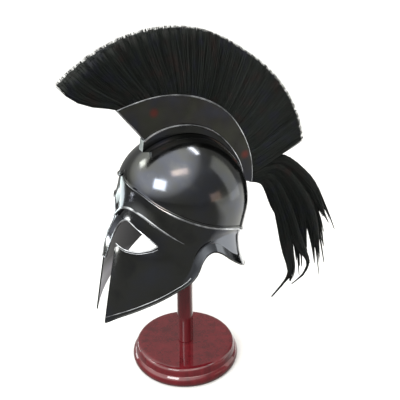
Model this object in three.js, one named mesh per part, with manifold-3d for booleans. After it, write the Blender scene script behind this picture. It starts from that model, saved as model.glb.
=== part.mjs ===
import * as THREE from 'three';
import { mergeVertices } from 'three/addons/utils/BufferGeometryUtils.js';
import { ParametricGeometry } from 'three/addons/geometries/ParametricGeometry.js';
import Module from 'manifold-3d';

// A corinthian helmet with a fore-and-aft crest, a brush and tail of hair, on a turned wooden stand.
// Millimetres, +Z up, the face towards -Y. The origin is the centre of the stand's underside.

const wasm = await Module();
wasm.setup();

// Stand
const BASE_DIAMETER = 200;
const BASE_HEIGHT = 35;
const BASE_FLAT_DIAMETER = 177;
const BASE_FOOT_DIAMETER = 190;
const BASE_TORUS_HEIGHT = 20;
const BASE_SHOULDER_WIDTH = 3.2;
const BASE_SHOULDER_DROP = 1.4;
const POST_DIAMETER = 29.5;
const CAP_DIAMETER = 60;
const CAP_EDGE = 12;
const CAP_CROWN_RADIUS = 70;
const BASE_SIDES = 36;
const POST_SIDES = 24;

// Helmet. Its own frame sits on the post's axis level with the temples, and leans back.
const TEMPLE_LEVEL = 340;
const LEAN_BACK = THREE.MathUtils.degToRad(10);
const SKULL_WIDTH = 196;
const SKULL_FRONT = 109;
const SKULL_BACK = 121;
const SKULL_RISE = 105.5;
const SKULL_AHEAD = 5;
const EQUATOR_RISE = 15;
const SKULL_FULLNESS = 1.9;
const MASK_DROP = 240;
const SHEET = 1.6;
const FIT_GAP = 0.3;

// Lower edge of the skull bowl, which laps over the mask
const RIDGE_FRONT = 37;
const RIDGE_BACK = -68;
const LAP = 8;
const RIDGE_ROLL = 1.2;

// Relief and openings of the mask
const BROW_RELIEF = 4;
const BROW_FADE = 34;
const NOSE_KEEL = 6;
const NASAL_HALF_WIDTH = 13;
const NASAL_END = 112;
const MOUTH_HALF_WIDTH = 22;
const EYE_REACH = 77;
const EYE_DROP = 80;
const NECK_FLARE = 26;
const NECK_DROP = 132;
const CHEEK_LENGTH = 229;
const EDGE_SPARE = 18;

// Crest
const PLINTH_WIDTH = 16;
const PLINTH_HEIGHT = 16;
const CREST_WIDTH = 11;
const CREST_HEIGHT = 66;
const CREST_SHEET = 1.2;
const RIM_HEIGHT = 2.2;
const RIM_PROUD = 1.2;
const BACKING_PROUD = 1.5;
const HAIR_LENGTH = 110;
const BRUSH_THICKNESS = 30;
const BRUSH_LOCKS = 22;
const TAIL_REACH = 230;
const TAIL_DROP = 255;
const TAIL_THICKNESS = 34;
const LOCK_DEPTH = 25;

const steel = new THREE.MeshStandardMaterial({ color: 0x16171a, metalness: 0.6, roughness: 0.12 });
const hair = new THREE.MeshStandardMaterial({ color: 0x0a0b0e, metalness: 0, roughness: 0.75 });
const wood = new THREE.MeshStandardMaterial({ color: 0x5c161a, metalness: 0, roughness: 0.15 });

// Sections of the skull and mask. drop is a share of MASK_DROP below the equator, width, front and
// back are shares of the skull's, and round is the exponent of the front half's superellipse.
const SECTIONS = [
  { drop: 0.00, width: 1.000, front: 1.000, back: 1.000, round: 2.00 },
  { drop: 0.10, width: 1.000, front: 0.998, back: 0.992, round: 1.96 },
  { drop: 0.20, width: 1.002, front: 1.000, back: 0.972, round: 1.92 },
  { drop: 0.30, width: 1.012, front: 1.045, back: 0.950, round: 1.88 },
  { drop: 0.40, width: 1.035, front: 1.095, back: 0.940, round: 1.86 },
  { drop: 0.52, width: 1.045, front: 1.110, back: 0.930, round: 1.86 },
  { drop: 0.70, width: 1.005, front: 1.120, back: 0.915, round: 1.86 },
  { drop: 1.00, width: 0.930, front: 1.133, back: 0.900, round: 1.86 },
];

// Level of the skull bowl's lower edge, as a share from RIDGE_BACK up to RIDGE_FRONT
const RIDGE = [
  { turn: 0, level: 1.000 },
  { turn: 5, level: 0.930 },
  { turn: 10, level: 0.880 },
  { turn: 18, level: 0.850 },
  { turn: 30, level: 0.815 },
  { turn: 41, level: 0.743 },
  { turn: 55, level: 0.638 },
  { turn: 67, level: 0.562 },
  { turn: 92, level: 0.438 },
  { turn: 117, level: 0.343 },
  { turn: 131, level: 0.280 },
  { turn: 150, level: 0.143 },
  { turn: 180, level: 0.000 },
];

// The brow line, whose drop is a share of the eye's, and how strongly it stands out
const BROW = [
  { turn: 0, drop: 0.46, strength: 1.00 },
  { turn: 3, drop: 0.37, strength: 1.00 },
  { turn: 11, drop: 0.21, strength: 1.00 },
  { turn: 20, drop: 0.15, strength: 1.00 },
  { turn: 29, drop: 0.165, strength: 1.00 },
  { turn: 38, drop: 0.225, strength: 0.95 },
  { turn: 52, drop: 0.385, strength: 0.75 },
  { turn: 68, drop: 0.57, strength: 0.40 },
  { turn: 82, drop: 0.72, strength: 0.00 },
];

// The turned-out edge from the cheek's rear round the neck: where it starts and ends as shares
// of NECK_DROP, and its reach as a share of NECK_FLARE
const FLARE = [
  { turn: 82, start: 0.44, end: 0.58, reach: 0.00 },
  { turn: 90, start: 0.45, end: 0.58, reach: 0.14 },
  { turn: 97, start: 0.41, end: 0.51, reach: 0.17 },
  { turn: 104, start: 0.36, end: 0.50, reach: 0.20 },
  { turn: 112, start: 0.31, end: 0.55, reach: 0.28 },
  { turn: 122, start: 0.29, end: 0.65, reach: 0.42 },
  { turn: 136, start: 0.34, end: 0.77, reach: 0.62 },
  { turn: 150, start: 0.42, end: 0.88, reach: 0.80 },
  { turn: 165, start: 0.50, end: 0.96, reach: 0.94 },
  { turn: 180, start: 0.53, end: 1.00, reach: 1.00 },
];

// Half width of the nasal's end, as a share of EYE_REACH
const NASAL_TIP = 0.095;

// Half of the face opening seen from the front. across is a share of EYE_REACH, down of EYE_DROP.
const NASAL_AND_LID = [
  { across: 0.135, down: 1.19 },
  { across: 0.162, down: 0.97 },
  { across: 0.162, down: 0.80 },
  { across: 0.176, down: 0.66 },
  { across: 0.240, down: 0.52 },
  { across: 0.390, down: 0.45 },
  { across: 0.640, down: 0.535 },
  { across: 0.844, down: 0.638 },
  { across: 1.000, down: 0.755 },
];
const LOWER_LID = [
  { across: 1.000, down: 0.755 },
  { across: 0.948, down: 0.840 },
  { across: 0.857, down: 0.915 },
  { across: 0.740, down: 0.972 },
  { across: 0.571, down: 1.000 },
  { across: 0.430, down: 0.990 },
  { across: 0.286, down: 0.962 },
];

// Lower edge of the cheek, the notch and the neck seen from the side.
// along is a share of SKULL_BACK behind the skull's centre, down is a share of CHEEK_LENGTH.
const LOWER_EDGE = [
  { along: -0.983, down: 1.000 },
  { along: -0.860, down: 0.899 },
  { along: -0.653, down: 0.786 },
  { along: -0.421, down: 0.677 },
  { along: -0.240, down: 0.590 },
  { along: -0.091, down: 0.520 },
  { along: -0.025, down: 0.467 },
  { along: 0.008, down: 0.419 },
  { along: 0.033, down: 0.367 },
  { along: 0.074, down: 0.323 },
  { along: 0.132, down: 0.293 },
  { along: 0.200, down: 0.283 },
  { along: 0.289, down: 0.297 },
  { along: 0.372, down: 0.323 },
  { along: 0.520, down: 0.376 },
  { along: 0.744, down: 0.441 },
  { along: 0.967, down: 0.490 },
  { along: 1.240, down: 0.545 },
  { along: 1.500, down: 0.570 },
];

// The crest in the fore-and-aft plane, turned about the skull's centre. plinth, rim and hair are
// shares of PLINTH_HEIGHT, CREST_HEIGHT and HAIR_LENGTH, and lean turns the hair's tips.
const CREST = [
  { turn: -44, plinth: 0.85, rim: 1.24, hair: 0.82, lean: -9 },
  { turn: -35, plinth: 1.00, rim: 1.15, hair: 0.87, lean: -7 },
  { turn: -20, plinth: 1.03, rim: 1.05, hair: 0.93, lean: -5 },
  { turn: 0, plinth: 0.91, rim: 0.92, hair: 0.95, lean: -3 },
  { turn: 20, plinth: 0.74, rim: 0.79, hair: 0.90, lean: -3 },
  { turn: 40, plinth: 0.48, rim: 0.61, hair: 0.95, lean: -3 },
  { turn: 60, plinth: 0.33, rim: 0.45, hair: 0.98, lean: -5 },
  { turn: 81, plinth: 0.10, rim: 0.29, hair: 0.98, lean: -9 },
];
const CREST_FRONT = { root: -54, foot: -41.5, plinth: -42.5, rim: -44 };
const CREST_REAR = { foot: 79, rim: 81 };
const BRUSH_REAR = { rim: 75, tip: 67.5 };

// Locks of the tail. back and down are shares of TAIL_REACH and TAIL_DROP from the crest's rear end,
// side is a share of TAIL_THICKNESS, and width is the lock's own share of it.
const TAIL = [
  { back: [0.19, 0.50, 0.75, 0.95], down: [-0.17, -0.02, 0.20, 0.42], side: 0.12, width: 0.36 },
  { back: [0.20, 0.49, 0.75, 0.98], down: [-0.15, 0.02, 0.33, 0.75], side: -0.14, width: 0.40 },
  { back: [0.19, 0.46, 0.68, 0.91], down: [-0.12, 0.06, 0.34, 0.83], side: 0.18, width: 0.40 },
  { back: [0.18, 0.44, 0.63, 0.79], down: [-0.09, 0.11, 0.40, 0.73], side: -0.02, width: 0.42 },
  { back: [0.16, 0.40, 0.57, 0.73], down: [-0.07, 0.15, 0.44, 0.84], side: -0.20, width: 0.40 },
  { back: [0.14, 0.36, 0.52, 0.63], down: [-0.05, 0.18, 0.46, 0.87], side: 0.10, width: 0.38 },
  { back: [0.12, 0.32, 0.55, 0.47], down: [-0.03, 0.21, 0.64, 1.00], side: 0.00, width: 0.36 },
  { back: [0.12, 0.28, 0.38, 0.42], down: [0.00, 0.16, 0.32, 0.46], side: -0.08, width: 0.34 },
];

const FULL_TURN = 2 * Math.PI;
const deg = THREE.MathUtils.radToDeg;
const rad = THREE.MathUtils.degToRad;

// Moulding of the base's edge from the foot up. inset from the base's edge and up from the table
// are shares of BASE_TORUS_HEIGHT.
const BASE_MOULDING = [
  { inset: 0.125, up: 0.060 },
  { inset: 0.060, up: 0.250 },
  { inset: 0.000, up: 0.500 },
  { inset: 0.040, up: 0.775 },
  { inset: 0.180, up: 0.975 },
  { inset: 0.260, up: 1.030 },
  { inset: 0.280, up: 1.200 },
  { inset: 0.330, up: 1.425 },
];

// Smooth value of a table's column at one place along its first column
function read(table, key, column, at) {
  const last = table.length - 1;
  const place = THREE.MathUtils.clamp(at, table[0][key], table[last][key]);
  let row = 0;
  while (row < last - 1 && place > table[row + 1][key]) row += 1;
  const slope = (i) => {
    const a = table[Math.max(i - 1, 0)];
    const b = table[Math.min(i + 1, last)];
    return (b[column] - a[column]) / (b[key] - a[key]);
  };
  const low = table[row];
  const high = table[row + 1];
  const span = high[key] - low[key];
  const t = (place - low[key]) / span;
  const hermite = [
    (1 + 2 * t) * (1 - t) * (1 - t),
    t * (1 - t) * (1 - t) * span,
    t * t * (3 - 2 * t),
    t * t * (t - 1) * span,
  ];
  return hermite[0] * low[column] + hermite[1] * slope(row)
    + hermite[2] * high[column] + hermite[3] * slope(row + 1);
}

// Turn from the front, 0 to 180 degrees on either side
function sideTurn(angle) {
  return deg(Math.acos(THREE.MathUtils.clamp(Math.cos(angle), -1, 1)));
}

function ridgeLevel(angle) {
  return RIDGE_BACK + (RIDGE_FRONT - RIDGE_BACK) * read(RIDGE, 'turn', 'level', sideTurn(angle));
}

// Plain skull and mask surface at an angle round the head and a level, before any relief
function plainShell(angle, level) {
  const equator = EQUATOR_RISE * Math.cos(angle);
  let size = { width: 1, front: 1, back: 1, round: 2 };
  if (level > equator) {
    const rise = Math.min((level - equator) / (SKULL_RISE - equator), 1);
    const scale = (1 - rise ** SKULL_FULLNESS) ** (1 / SKULL_FULLNESS);
    size = { width: scale, front: scale, back: scale, round: 2 };
  } else {
    const drop = (equator - level) / MASK_DROP;
    for (const column of Object.keys(size)) size[column] = read(SECTIONS, 'drop', column, drop);
  }
  const ahead = Math.cos(angle) > 0;
  const power = 2 / (ahead ? size.round : 2);
  const reach = ahead ? -SKULL_FRONT * size.front : SKULL_BACK * size.back;
  const x = Math.sign(Math.sin(angle)) * Math.abs(Math.sin(angle)) ** power * size.width * SKULL_WIDTH / 2;
  const y = Math.abs(Math.cos(angle)) ** power * reach - SKULL_AHEAD;
  return new THREE.Vector3(x, y, level);
}

function browRelief(angle, level) {
  const turn = sideTurn(angle);
  const line = -EYE_DROP * read(BROW, 'turn', 'drop', turn);
  const above = (level - line) / BROW_FADE;
  if (above < 0 || above > 1) return 0;
  return BROW_RELIEF * read(BROW, 'turn', 'strength', turn) * (1 - above) ** 2;
}

function noseRelief(point) {
  const keel = 1 - Math.min(Math.abs(point.x) / (1.6 * NASAL_HALF_WIDTH), 1);
  const start = THREE.MathUtils.smoothstep(-point.z, 0.35 * EYE_DROP, 0.9 * EYE_DROP);
  return NOSE_KEEL * keel * start;
}

function flareRelief(angle, level) {
  const turn = sideTurn(angle);
  if (turn < FLARE[0].turn) return 0;
  const start = -NECK_DROP * read(FLARE, 'turn', 'start', turn);
  const end = -NECK_DROP * read(FLARE, 'turn', 'end', turn);
  const share = Math.max((start - level) / (start - end), 0);
  return NECK_FLARE * read(FLARE, 'turn', 'reach', turn) * Math.min(share, 1.15) ** 1.7;
}

// Point of the finished surface, moved out along its normal, which is taken over a small turn and rise
const NORMAL_TURN = 0.01;
const NORMAL_RISE = 0.5;

function shell(angle, level, out) {
  const turn = NORMAL_TURN;
  const rise = Math.min(NORMAL_RISE, (SKULL_RISE - level) / 2);
  const point = plainShell(angle, level);
  if (level > SKULL_RISE - 0.01) return point.setZ(level + out);
  const round = plainShell(angle + turn, level).sub(plainShell(angle - turn, level));
  const up = plainShell(angle, level + rise).sub(plainShell(angle, level - rise));
  const normal = round.cross(up).normalize();
  const relief = browRelief(angle, level) + noseRelief(point) + flareRelief(angle, level);
  return point.addScaledVector(normal, relief + out);
}

// A closed surface becomes a solid for joining and cutting
function solid(geometry) {
  const plain = geometry.clone();
  plain.deleteAttribute('normal');
  plain.deleteAttribute('uv');
  const merged = mergeVertices(plain, 1e-4);
  const spot = merged.attributes.position.array;
  const corners = merged.index.array;
  const faces = [];
  let volume = 0;
  for (let i = 0; i < corners.length; i += 3) {
    const [a, b, c] = [corners[i], corners[i + 1], corners[i + 2]];
    if (a === b || b === c || c === a) continue;
    faces.push(a, b, c);
    const [p, q, r] = [a, b, c].map((n) => new THREE.Vector3().fromArray(spot, 3 * n));
    volume += p.dot(q.cross(r));
  }
  if (volume < 0) faces.reverse();
  return new wasm.Manifold(new wasm.Mesh({
    numProp: 3,
    vertProperties: new Float32Array(spot),
    triVerts: new Uint32Array(faces),
  }));
}

function geometryOf(body) {
  const mesh = body.getMesh();
  const geometry = new THREE.BufferGeometry();
  geometry.setAttribute('position', new THREE.BufferAttribute(mesh.vertProperties, 3));
  geometry.setIndex(new THREE.BufferAttribute(mesh.triVerts, 1));
  geometry.computeVertexNormals();
  return geometry;
}

// Closed sheet between two levels of the shell: out the outer side, over the top and down the inside.
// low and high give the levels at an angle, skin is the outer side's distance from the plain surface.
function sheetBody(low, high, skin, thickness, around, rows) {
  const place = (u, v, target) => {
    const angle = u * FULL_TURN;
    const lap = v * (2 * rows + 2);
    const outside = lap <= rows + 0.5;
    const row = outside ? lap : 2 * rows + 1 - lap;
    const share = Math.min(Math.max(row / rows, 0), 1);
    const eased = high(angle) >= SKULL_RISE ? Math.sin(share * Math.PI / 2) : share;
    const level = low(angle) + (high(angle) - low(angle)) * eased;
    const back = outside ? 0 : thickness;
    const closing = lap > 2 * rows + 1.5 ? thickness : 0;
    target.copy(shell(angle, level, skin(share) - back + closing));
  };
  return solid(new ParametricGeometry(place, around, 2 * rows + 2));
}

// Closed body of all that lies inside the shell between two levels, with a hollow cone below
function filledBody(low, high, skin, around, rows) {
  const place = (u, v, target) => {
    const angle = u * FULL_TURN;
    const row = v * (rows + 1) - 1;
    if (row < -0.5) {
      target.set(0, -SKULL_AHEAD, 0);
      return;
    }
    const share = Math.min(Math.max(row / rows, 0), 1);
    const eased = Math.sin(share * Math.PI / 2);
    target.copy(shell(angle, low(angle) + (high(angle) - low(angle)) * eased, skin(share)));
  };
  return solid(new ParametricGeometry(place, around, rows + 1));
}

// Fore-and-aft outline, y and z in the helmet's frame, made a slab of one width
function slab(points, width) {
  const outline = new THREE.Shape(points.map(([y, z]) => new THREE.Vector2(y, z)));
  const geometry = new THREE.ExtrudeGeometry(outline, { depth: width, bevelEnabled: false });
  geometry.translate(0, 0, -width / 2);
  geometry.applyMatrix4(new THREE.Matrix4().makeBasis(
    new THREE.Vector3(0, 1, 0),
    new THREE.Vector3(0, 0, 1),
    new THREE.Vector3(1, 0, 0),
  ));
  return solid(geometry);
}

function crestPoint(turn, radius) {
  return [radius * Math.sin(rad(turn)) - SKULL_AHEAD, radius * Math.cos(rad(turn))];
}

// Distance from the skull's centre to the bowl's outer side in the fore-and-aft plane
function bowlRadius(turn) {
  const side = turn < 0 ? 0 : Math.PI;
  let low = 0;
  let high = SKULL_RISE;
  for (let i = 0; i < 40; i += 1) {
    const level = (low + high) / 2;
    const point = plainShell(side, level);
    const steep = Math.atan2(Math.abs(point.y + SKULL_AHEAD), level);
    if (steep > Math.abs(rad(turn))) low = level;
    else high = level;
  }
  const point = plainShell(side, low);
  return Math.hypot(point.y + SKULL_AHEAD, low) + SHEET + FIT_GAP;
}

function plinthRadius(turn) {
  return bowlRadius(turn) + PLINTH_HEIGHT * read(CREST, 'turn', 'plinth', turn);
}

function rimRadius(turn) {
  return bowlRadius(turn) + CREST_HEIGHT * read(CREST, 'turn', 'rim', turn);
}

function hairRadius(turn) {
  return rimRadius(turn) + HAIR_LENGTH * read(CREST, 'turn', 'hair', turn);
}

// Outline between two radii that follow the crest. Each side has its own first and last turn.
function band(near, far, steps) {
  const side = ({ radius, from, to }) => Array.from({ length: steps + 1 }, (_, i) => {
    const turn = from + (to - from) * i / steps;
    return crestPoint(turn, radius(turn));
  });
  return [...side(far), ...side(near).reverse()];
}

// Turn that a length takes up at a distance from the skull's centre
function turnOf(length, radius) {
  return deg(length / radius);
}

// Closed lock of hair through sections {at, across, along, wide, deep}: at is the section's centre,
// across and along span its plane, wide and deep are its half sizes in them.
function lock(sections, sides) {
  const place = (u, v, target) => {
    const lap = Math.round(v * (sections.length + 1)) - 1;
    const end = THREE.MathUtils.clamp(lap, 0, sections.length - 1);
    const { at, across, along, wide, deep } = sections[end];
    const size = end === lap ? 1 : 0;
    const turn = u * FULL_TURN;
    target.copy(at);
    target.addScaledVector(across, size * wide * Math.cos(turn));
    target.addScaledVector(along, size * deep * Math.sin(turn));
  };
  return solid(new ParametricGeometry(place, sides, sections.length + 1));
}

const helmet = new THREE.Group();
helmet.position.z = TEMPLE_LEVEL;
helmet.rotation.x = -LEAN_BACK;
helmet.updateMatrixWorld();

function addPiece(group, name, geometry, material) {
  const mesh = new THREE.Mesh(geometry, material);
  mesh.name = name;
  group.add(mesh);
}

// Skull bowl
const AROUND = 48;
const BOWL_ROWS = 9;
const MASK_ROWS = 15;
const bowlSkin = (share) => FIT_GAP + SHEET + RIDGE_ROLL * (1 - Math.min(share * 6, 1)) ** 2;
const bowlTop = () => SKULL_RISE;

function bowlPiece() {
  return sheetBody(ridgeLevel, bowlTop, bowlSkin, SHEET, AROUND, BOWL_ROWS);
}

// What the pieces on top of the bowl are cut by: all that lies inside its outer side and a gap
function bowlRoom() {
  return filledBody(ridgeLevel, bowlTop, (share) => bowlSkin(share) + FIT_GAP, AROUND, BOWL_ROWS);
}

// Mask with its eyes, mouth and lower edge cut out
function edgeLevel(y) {
  return -CHEEK_LENGTH * read(LOWER_EDGE, 'along', 'down', (y + SKULL_AHEAD) / SKULL_BACK);
}

function faceOpening() {
  const foot = -2 * CHEEK_LENGTH;
  const half = [...NASAL_AND_LID, ...LOWER_LID.slice(1)];
  const near = half.map(({ across, down }) => [across * EYE_REACH, -down * EYE_DROP]);
  near.unshift([NASAL_TIP * EYE_REACH, -NASAL_END]);
  near.push([MOUTH_HALF_WIDTH, near.at(-1)[1]], [MOUTH_HALF_WIDTH, foot]);
  const outline = [...near, ...near.toReversed().map(([x, z]) => [-x, z])];
  const shape = new THREE.Shape(outline.map(([x, z]) => new THREE.Vector2(x, z)));
  const geometry = new THREE.ExtrudeGeometry(shape, { depth: 2 * SKULL_FRONT, bevelEnabled: false });
  geometry.applyMatrix4(new THREE.Matrix4().makeBasis(
    new THREE.Vector3(1, 0, 0),
    new THREE.Vector3(0, 0, 1),
    new THREE.Vector3(0, -1, 0),
  ));
  return solid(geometry);
}

function maskPiece() {
  const floor = (angle) => edgeLevel(plainShell(angle, RIDGE_BACK).y) - EDGE_SPARE;
  const top = (angle) => ridgeLevel(angle) + LAP;
  const sheet = sheetBody(floor, top, () => 0, SHEET, AROUND, MASK_ROWS);
  const edge = LOWER_EDGE.map(({ along, down }) => [along * SKULL_BACK - SKULL_AHEAD, -down * CHEEK_LENGTH]);
  const front = [-2 * SKULL_FRONT, edge[0][1]];
  const rear = [2 * SKULL_BACK, edge.at(-1)[1]];
  const foot = -2 * CHEEK_LENGTH;
  const below = [front, ...edge, rear, [rear[0], foot], [front[0], foot]];
  return sheet.subtract(faceOpening()).subtract(slab(below, 2 * SKULL_WIDTH));
}

// Crest
const CREST_STEPS = 20;

function plinthPiece() {
  const inside = (turn) => bowlRadius(turn) - PLINTH_HEIGHT;
  const near = { radius: inside, from: CREST_FRONT.root, to: CREST_REAR.foot };
  const far = { radius: plinthRadius, from: CREST_FRONT.plinth, to: CREST_REAR.foot };
  return slab(band(near, far, CREST_STEPS), PLINTH_WIDTH).subtract(bowlRoom());
}

// Room inside the crest box, less a gap. It runs out past the rim and the open rear end.
function troughRoom(gap, proud) {
  const inset = CREST_SHEET + gap;
  const floor = (turn) => plinthRadius(turn) + FIT_GAP + inset;
  const near = {
    radius: floor,
    from: CREST_FRONT.foot + turnOf(inset, floor(CREST_FRONT.foot)),
    to: CREST_REAR.foot + turnOf(proud, floor(CREST_REAR.foot)),
  };
  const far = {
    radius: (turn) => rimRadius(turn) + proud,
    from: CREST_FRONT.rim + turnOf(inset, rimRadius(CREST_FRONT.rim)),
    to: CREST_REAR.rim + turnOf(proud, rimRadius(CREST_REAR.rim)),
  };
  return slab(band(near, far, CREST_STEPS), CREST_WIDTH - 2 * inset);
}

// All that lies inside the crest box's outer sides and a gap
function crestBoxRoom() {
  const more = (edge, radius) => turnOf(FIT_GAP, radius(edge));
  const floor = plinthRadius;
  const rim = (turn) => rimRadius(turn) + FIT_GAP;
  const near = {
    radius: floor,
    from: CREST_FRONT.foot - more(CREST_FRONT.foot, floor),
    to: CREST_REAR.foot + more(CREST_REAR.foot, floor),
  };
  const far = {
    radius: rim,
    from: CREST_FRONT.rim - more(CREST_FRONT.rim, rim),
    to: CREST_REAR.rim + more(CREST_REAR.rim, rim),
  };
  return slab(band(near, far, CREST_STEPS), CREST_WIDTH + 2 * RIM_PROUD + 2 * FIT_GAP);
}

function crestBoxPiece() {
  const floor = (turn) => plinthRadius(turn) + FIT_GAP;
  const underRim = (turn) => rimRadius(turn) - RIM_HEIGHT;
  const rimTurns = { from: CREST_FRONT.rim, to: CREST_REAR.rim };
  const near = { radius: floor, from: CREST_FRONT.foot, to: CREST_REAR.foot };
  const far = { radius: rimRadius, ...rimTurns };
  const box = slab(band(near, far, CREST_STEPS), CREST_WIDTH);
  const rim = slab(band({ radius: underRim, ...rimTurns }, far, CREST_STEPS), CREST_WIDTH + 2 * RIM_PROUD);
  return box.add(rim).subtract(troughRoom(0, CREST_SHEET));
}

// The parting between the brush and the tail, which starts at the crest's rear end
function behindParting(gap) {
  const foot = crestPoint(BRUSH_REAR.rim - turnOf(gap, rimRadius(BRUSH_REAR.rim)), bowlRadius(BRUSH_REAR.rim));
  const tip = crestPoint(BRUSH_REAR.tip - turnOf(gap, hairRadius(BRUSH_REAR.tip)), hairRadius(BRUSH_REAR.tip));
  const far = TAIL_REACH + 2 * SKULL_BACK;
  const high = [foot[0] + 1.5 * (tip[0] - foot[0]), foot[1] + 1.5 * (tip[1] - foot[1])];
  return slab([foot, high, [far, high[1]], [far, -far], [foot[0], -far]], 4 * BRUSH_THICKNESS);
}

// Locks fused to the backing strip that fills the crest box
function hairPiece(locks) {
  const fused = locks.reduce((body, next) => body.add(next));
  return fused.subtract(crestBoxRoom()).add(troughRoom(FIT_GAP, BACKING_PROUD));
}

const SIDEWAYS = new THREE.Vector3(1, 0, 0);
const LOCK_SIDES = 6;

function brushPiece() {
  const pitch = (BRUSH_REAR.rim - CREST_FRONT.rim) / BRUSH_LOCKS;
  const seat = CREST_WIDTH / 2 - CREST_SHEET - FIT_GAP;
  const steps = [
    { share: -0.06, wide: seat, spread: 0.40 },
    { share: 0.01, wide: seat, spread: 0.46 },
    { share: 0.22, wide: 0.36 * BRUSH_THICKNESS, spread: 0.72 },
    { share: 0.60, wide: 0.48 * BRUSH_THICKNESS, spread: 0.84 },
    { share: 0.90, wide: 0.46 * BRUSH_THICKNESS, spread: 0.86 },
    { share: 1.00, wide: 0.30 * BRUSH_THICKNESS, spread: 0.66 },
  ];
  const locks = [];
  for (let i = 0; i < BRUSH_LOCKS; i += 1) {
    const turn = CREST_FRONT.rim + pitch * (i + 0.5);
    const lean = read(CREST, 'turn', 'lean', turn);
    const length = hairRadius(turn) - rimRadius(turn);
    const sections = steps.map(({ share, wide, spread }) => {
      const bent = turn + lean * Math.max(share, 0);
      const radius = rimRadius(turn) + share * length;
      const [y, z] = crestPoint(bent, radius);
      const along = new THREE.Vector3(0, Math.cos(rad(bent)), -Math.sin(rad(bent)));
      const at = new THREE.Vector3(0, y, z);
      return { at, across: SIDEWAYS, along, wide, deep: rad(pitch) * spread * radius };
    });
    locks.push(lock(sections, LOCK_SIDES));
  }
  return hairPiece(locks).subtract(behindParting(FIT_GAP));
}

function tailPiece() {
  const [endY, endZ] = crestPoint(CREST_REAR.rim, rimRadius(CREST_REAR.rim));
  const seat = CREST_WIDTH / 2 - CREST_SHEET - FIT_GAP;
  const rows = 9;
  const fullness = [
    { share: 0.00, size: 0.30 },
    { share: 0.25, size: 0.75 },
    { share: 0.55, size: 1.00 },
    { share: 0.85, size: 0.72 },
    { share: 1.00, size: 0.28 },
  ];
  const locks = TAIL.map(({ back, down, side, width }, i) => {
    const rootTurn = BRUSH_REAR.rim + (CREST_REAR.rim - BRUSH_REAR.rim) * (i + 1) / (TAIL.length + 1);
    const root = crestPoint(rootTurn, rimRadius(rootTurn) - RIM_HEIGHT);
    const knots = back.map((share, n) => new THREE.Vector3(
      side * TAIL_THICKNESS * Math.min((n + 1) / 2, 1),
      endY + TAIL_REACH * share,
      endZ - TAIL_DROP * down[n],
    ));
    const route = new THREE.CatmullRomCurve3([new THREE.Vector3(0, ...root), ...knots]);
    const sections = Array.from({ length: rows }, (_, n) => {
      const share = n / (rows - 1);
      const size = read(fullness, 'share', 'size', share);
      const along = route.getTangentAt(share).cross(SIDEWAYS).normalize();
      const wide = n === 0 ? seat : size * width * TAIL_THICKNESS;
      return { at: route.getPointAt(share), across: SIDEWAYS, along, wide, deep: size * LOCK_DEPTH / 2 };
    });
    return lock(sections, LOCK_SIDES);
  });
  return hairPiece(locks).intersect(behindParting(0));
}

// Stand
function baseGeometry() {
  const flat = BASE_FLAT_DIAMETER / 2;
  const foot = BASE_FOOT_DIAMETER / 2;
  const edge = BASE_DIAMETER / 2;
  const moulding = BASE_MOULDING.map(({ inset, up }) => [
    edge - BASE_TORUS_HEIGHT * inset,
    BASE_TORUS_HEIGHT * up,
  ]);
  const shoulder = [flat + BASE_SHOULDER_WIDTH, BASE_HEIGHT - BASE_SHOULDER_DROP];
  const profile = [[0, 0], [foot, 0], ...moulding, shoulder, [flat, BASE_HEIGHT], [0, BASE_HEIGHT]];
  return new THREE.LatheGeometry(profile.map(([r, z]) => new THREE.Vector2(r, z)), BASE_SIDES);
}

// How far the cap's crown lies below its middle
function crownDrop(radius) {
  return CAP_CROWN_RADIUS - Math.sqrt(CAP_CROWN_RADIUS ** 2 - radius ** 2);
}

// Highest level of the cap's middle that keeps its crown a gap below the bowl's inner side
function capTop(bowl) {
  const geometry = geometryOf(bowl).applyMatrix4(helmet.matrixWorld);
  const spot = geometry.attributes.position;
  const corners = geometry.index.array;
  const grid = 6;
  let top = Infinity;
  for (let i = 0; i < corners.length; i += 3) {
    const [a, b, c] = [0, 1, 2].map((n) => new THREE.Vector3().fromBufferAttribute(spot, corners[i + n]));
    for (let u = 0; u <= grid; u += 1) {
      for (let v = 0; v <= grid - u; v += 1) {
        const point = a.clone().multiplyScalar(u / grid)
          .addScaledVector(b, v / grid).addScaledVector(c, (grid - u - v) / grid);
        const radius = Math.hypot(point.x, point.y);
        if (radius < CAP_DIAMETER / 2 && point.z > TEMPLE_LEVEL) {
          top = Math.min(top, point.z + crownDrop(radius));
        }
      }
    }
  }
  return top - FIT_GAP;
}

function capGeometry(top) {
  const edge = CAP_DIAMETER / 2;
  const crown = [1, 0.85, 0.65, 0.4, 0.2, 0].map((share) => {
    const radius = share * (edge - CAP_EDGE / 4);
    return [radius, top - crownDrop(radius)];
  });
  const rim = top - crownDrop(edge);
  const profile = [
    [0, rim - CAP_EDGE], [edge - CAP_EDGE / 4, rim - CAP_EDGE], [edge, rim - 0.75 * CAP_EDGE],
    [edge, rim - CAP_EDGE / 4], ...crown,
  ];
  return new THREE.LatheGeometry(profile.map(([r, z]) => new THREE.Vector2(r, z)), POST_SIDES);
}

function postGeometry(top) {
  const low = BASE_HEIGHT + FIT_GAP;
  const high = top - crownDrop(CAP_DIAMETER / 2) - CAP_EDGE - FIT_GAP;
  const geometry = new THREE.CylinderGeometry(POST_DIAMETER / 2, POST_DIAMETER / 2, high - low, POST_SIDES);
  return geometry.translate(0, (high + low) / 2, 0);
}

// A lathe turns about Y, and the stand's pieces stand along Z
function standing(geometry) {
  return geometry.rotateX(Math.PI / 2);
}

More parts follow.
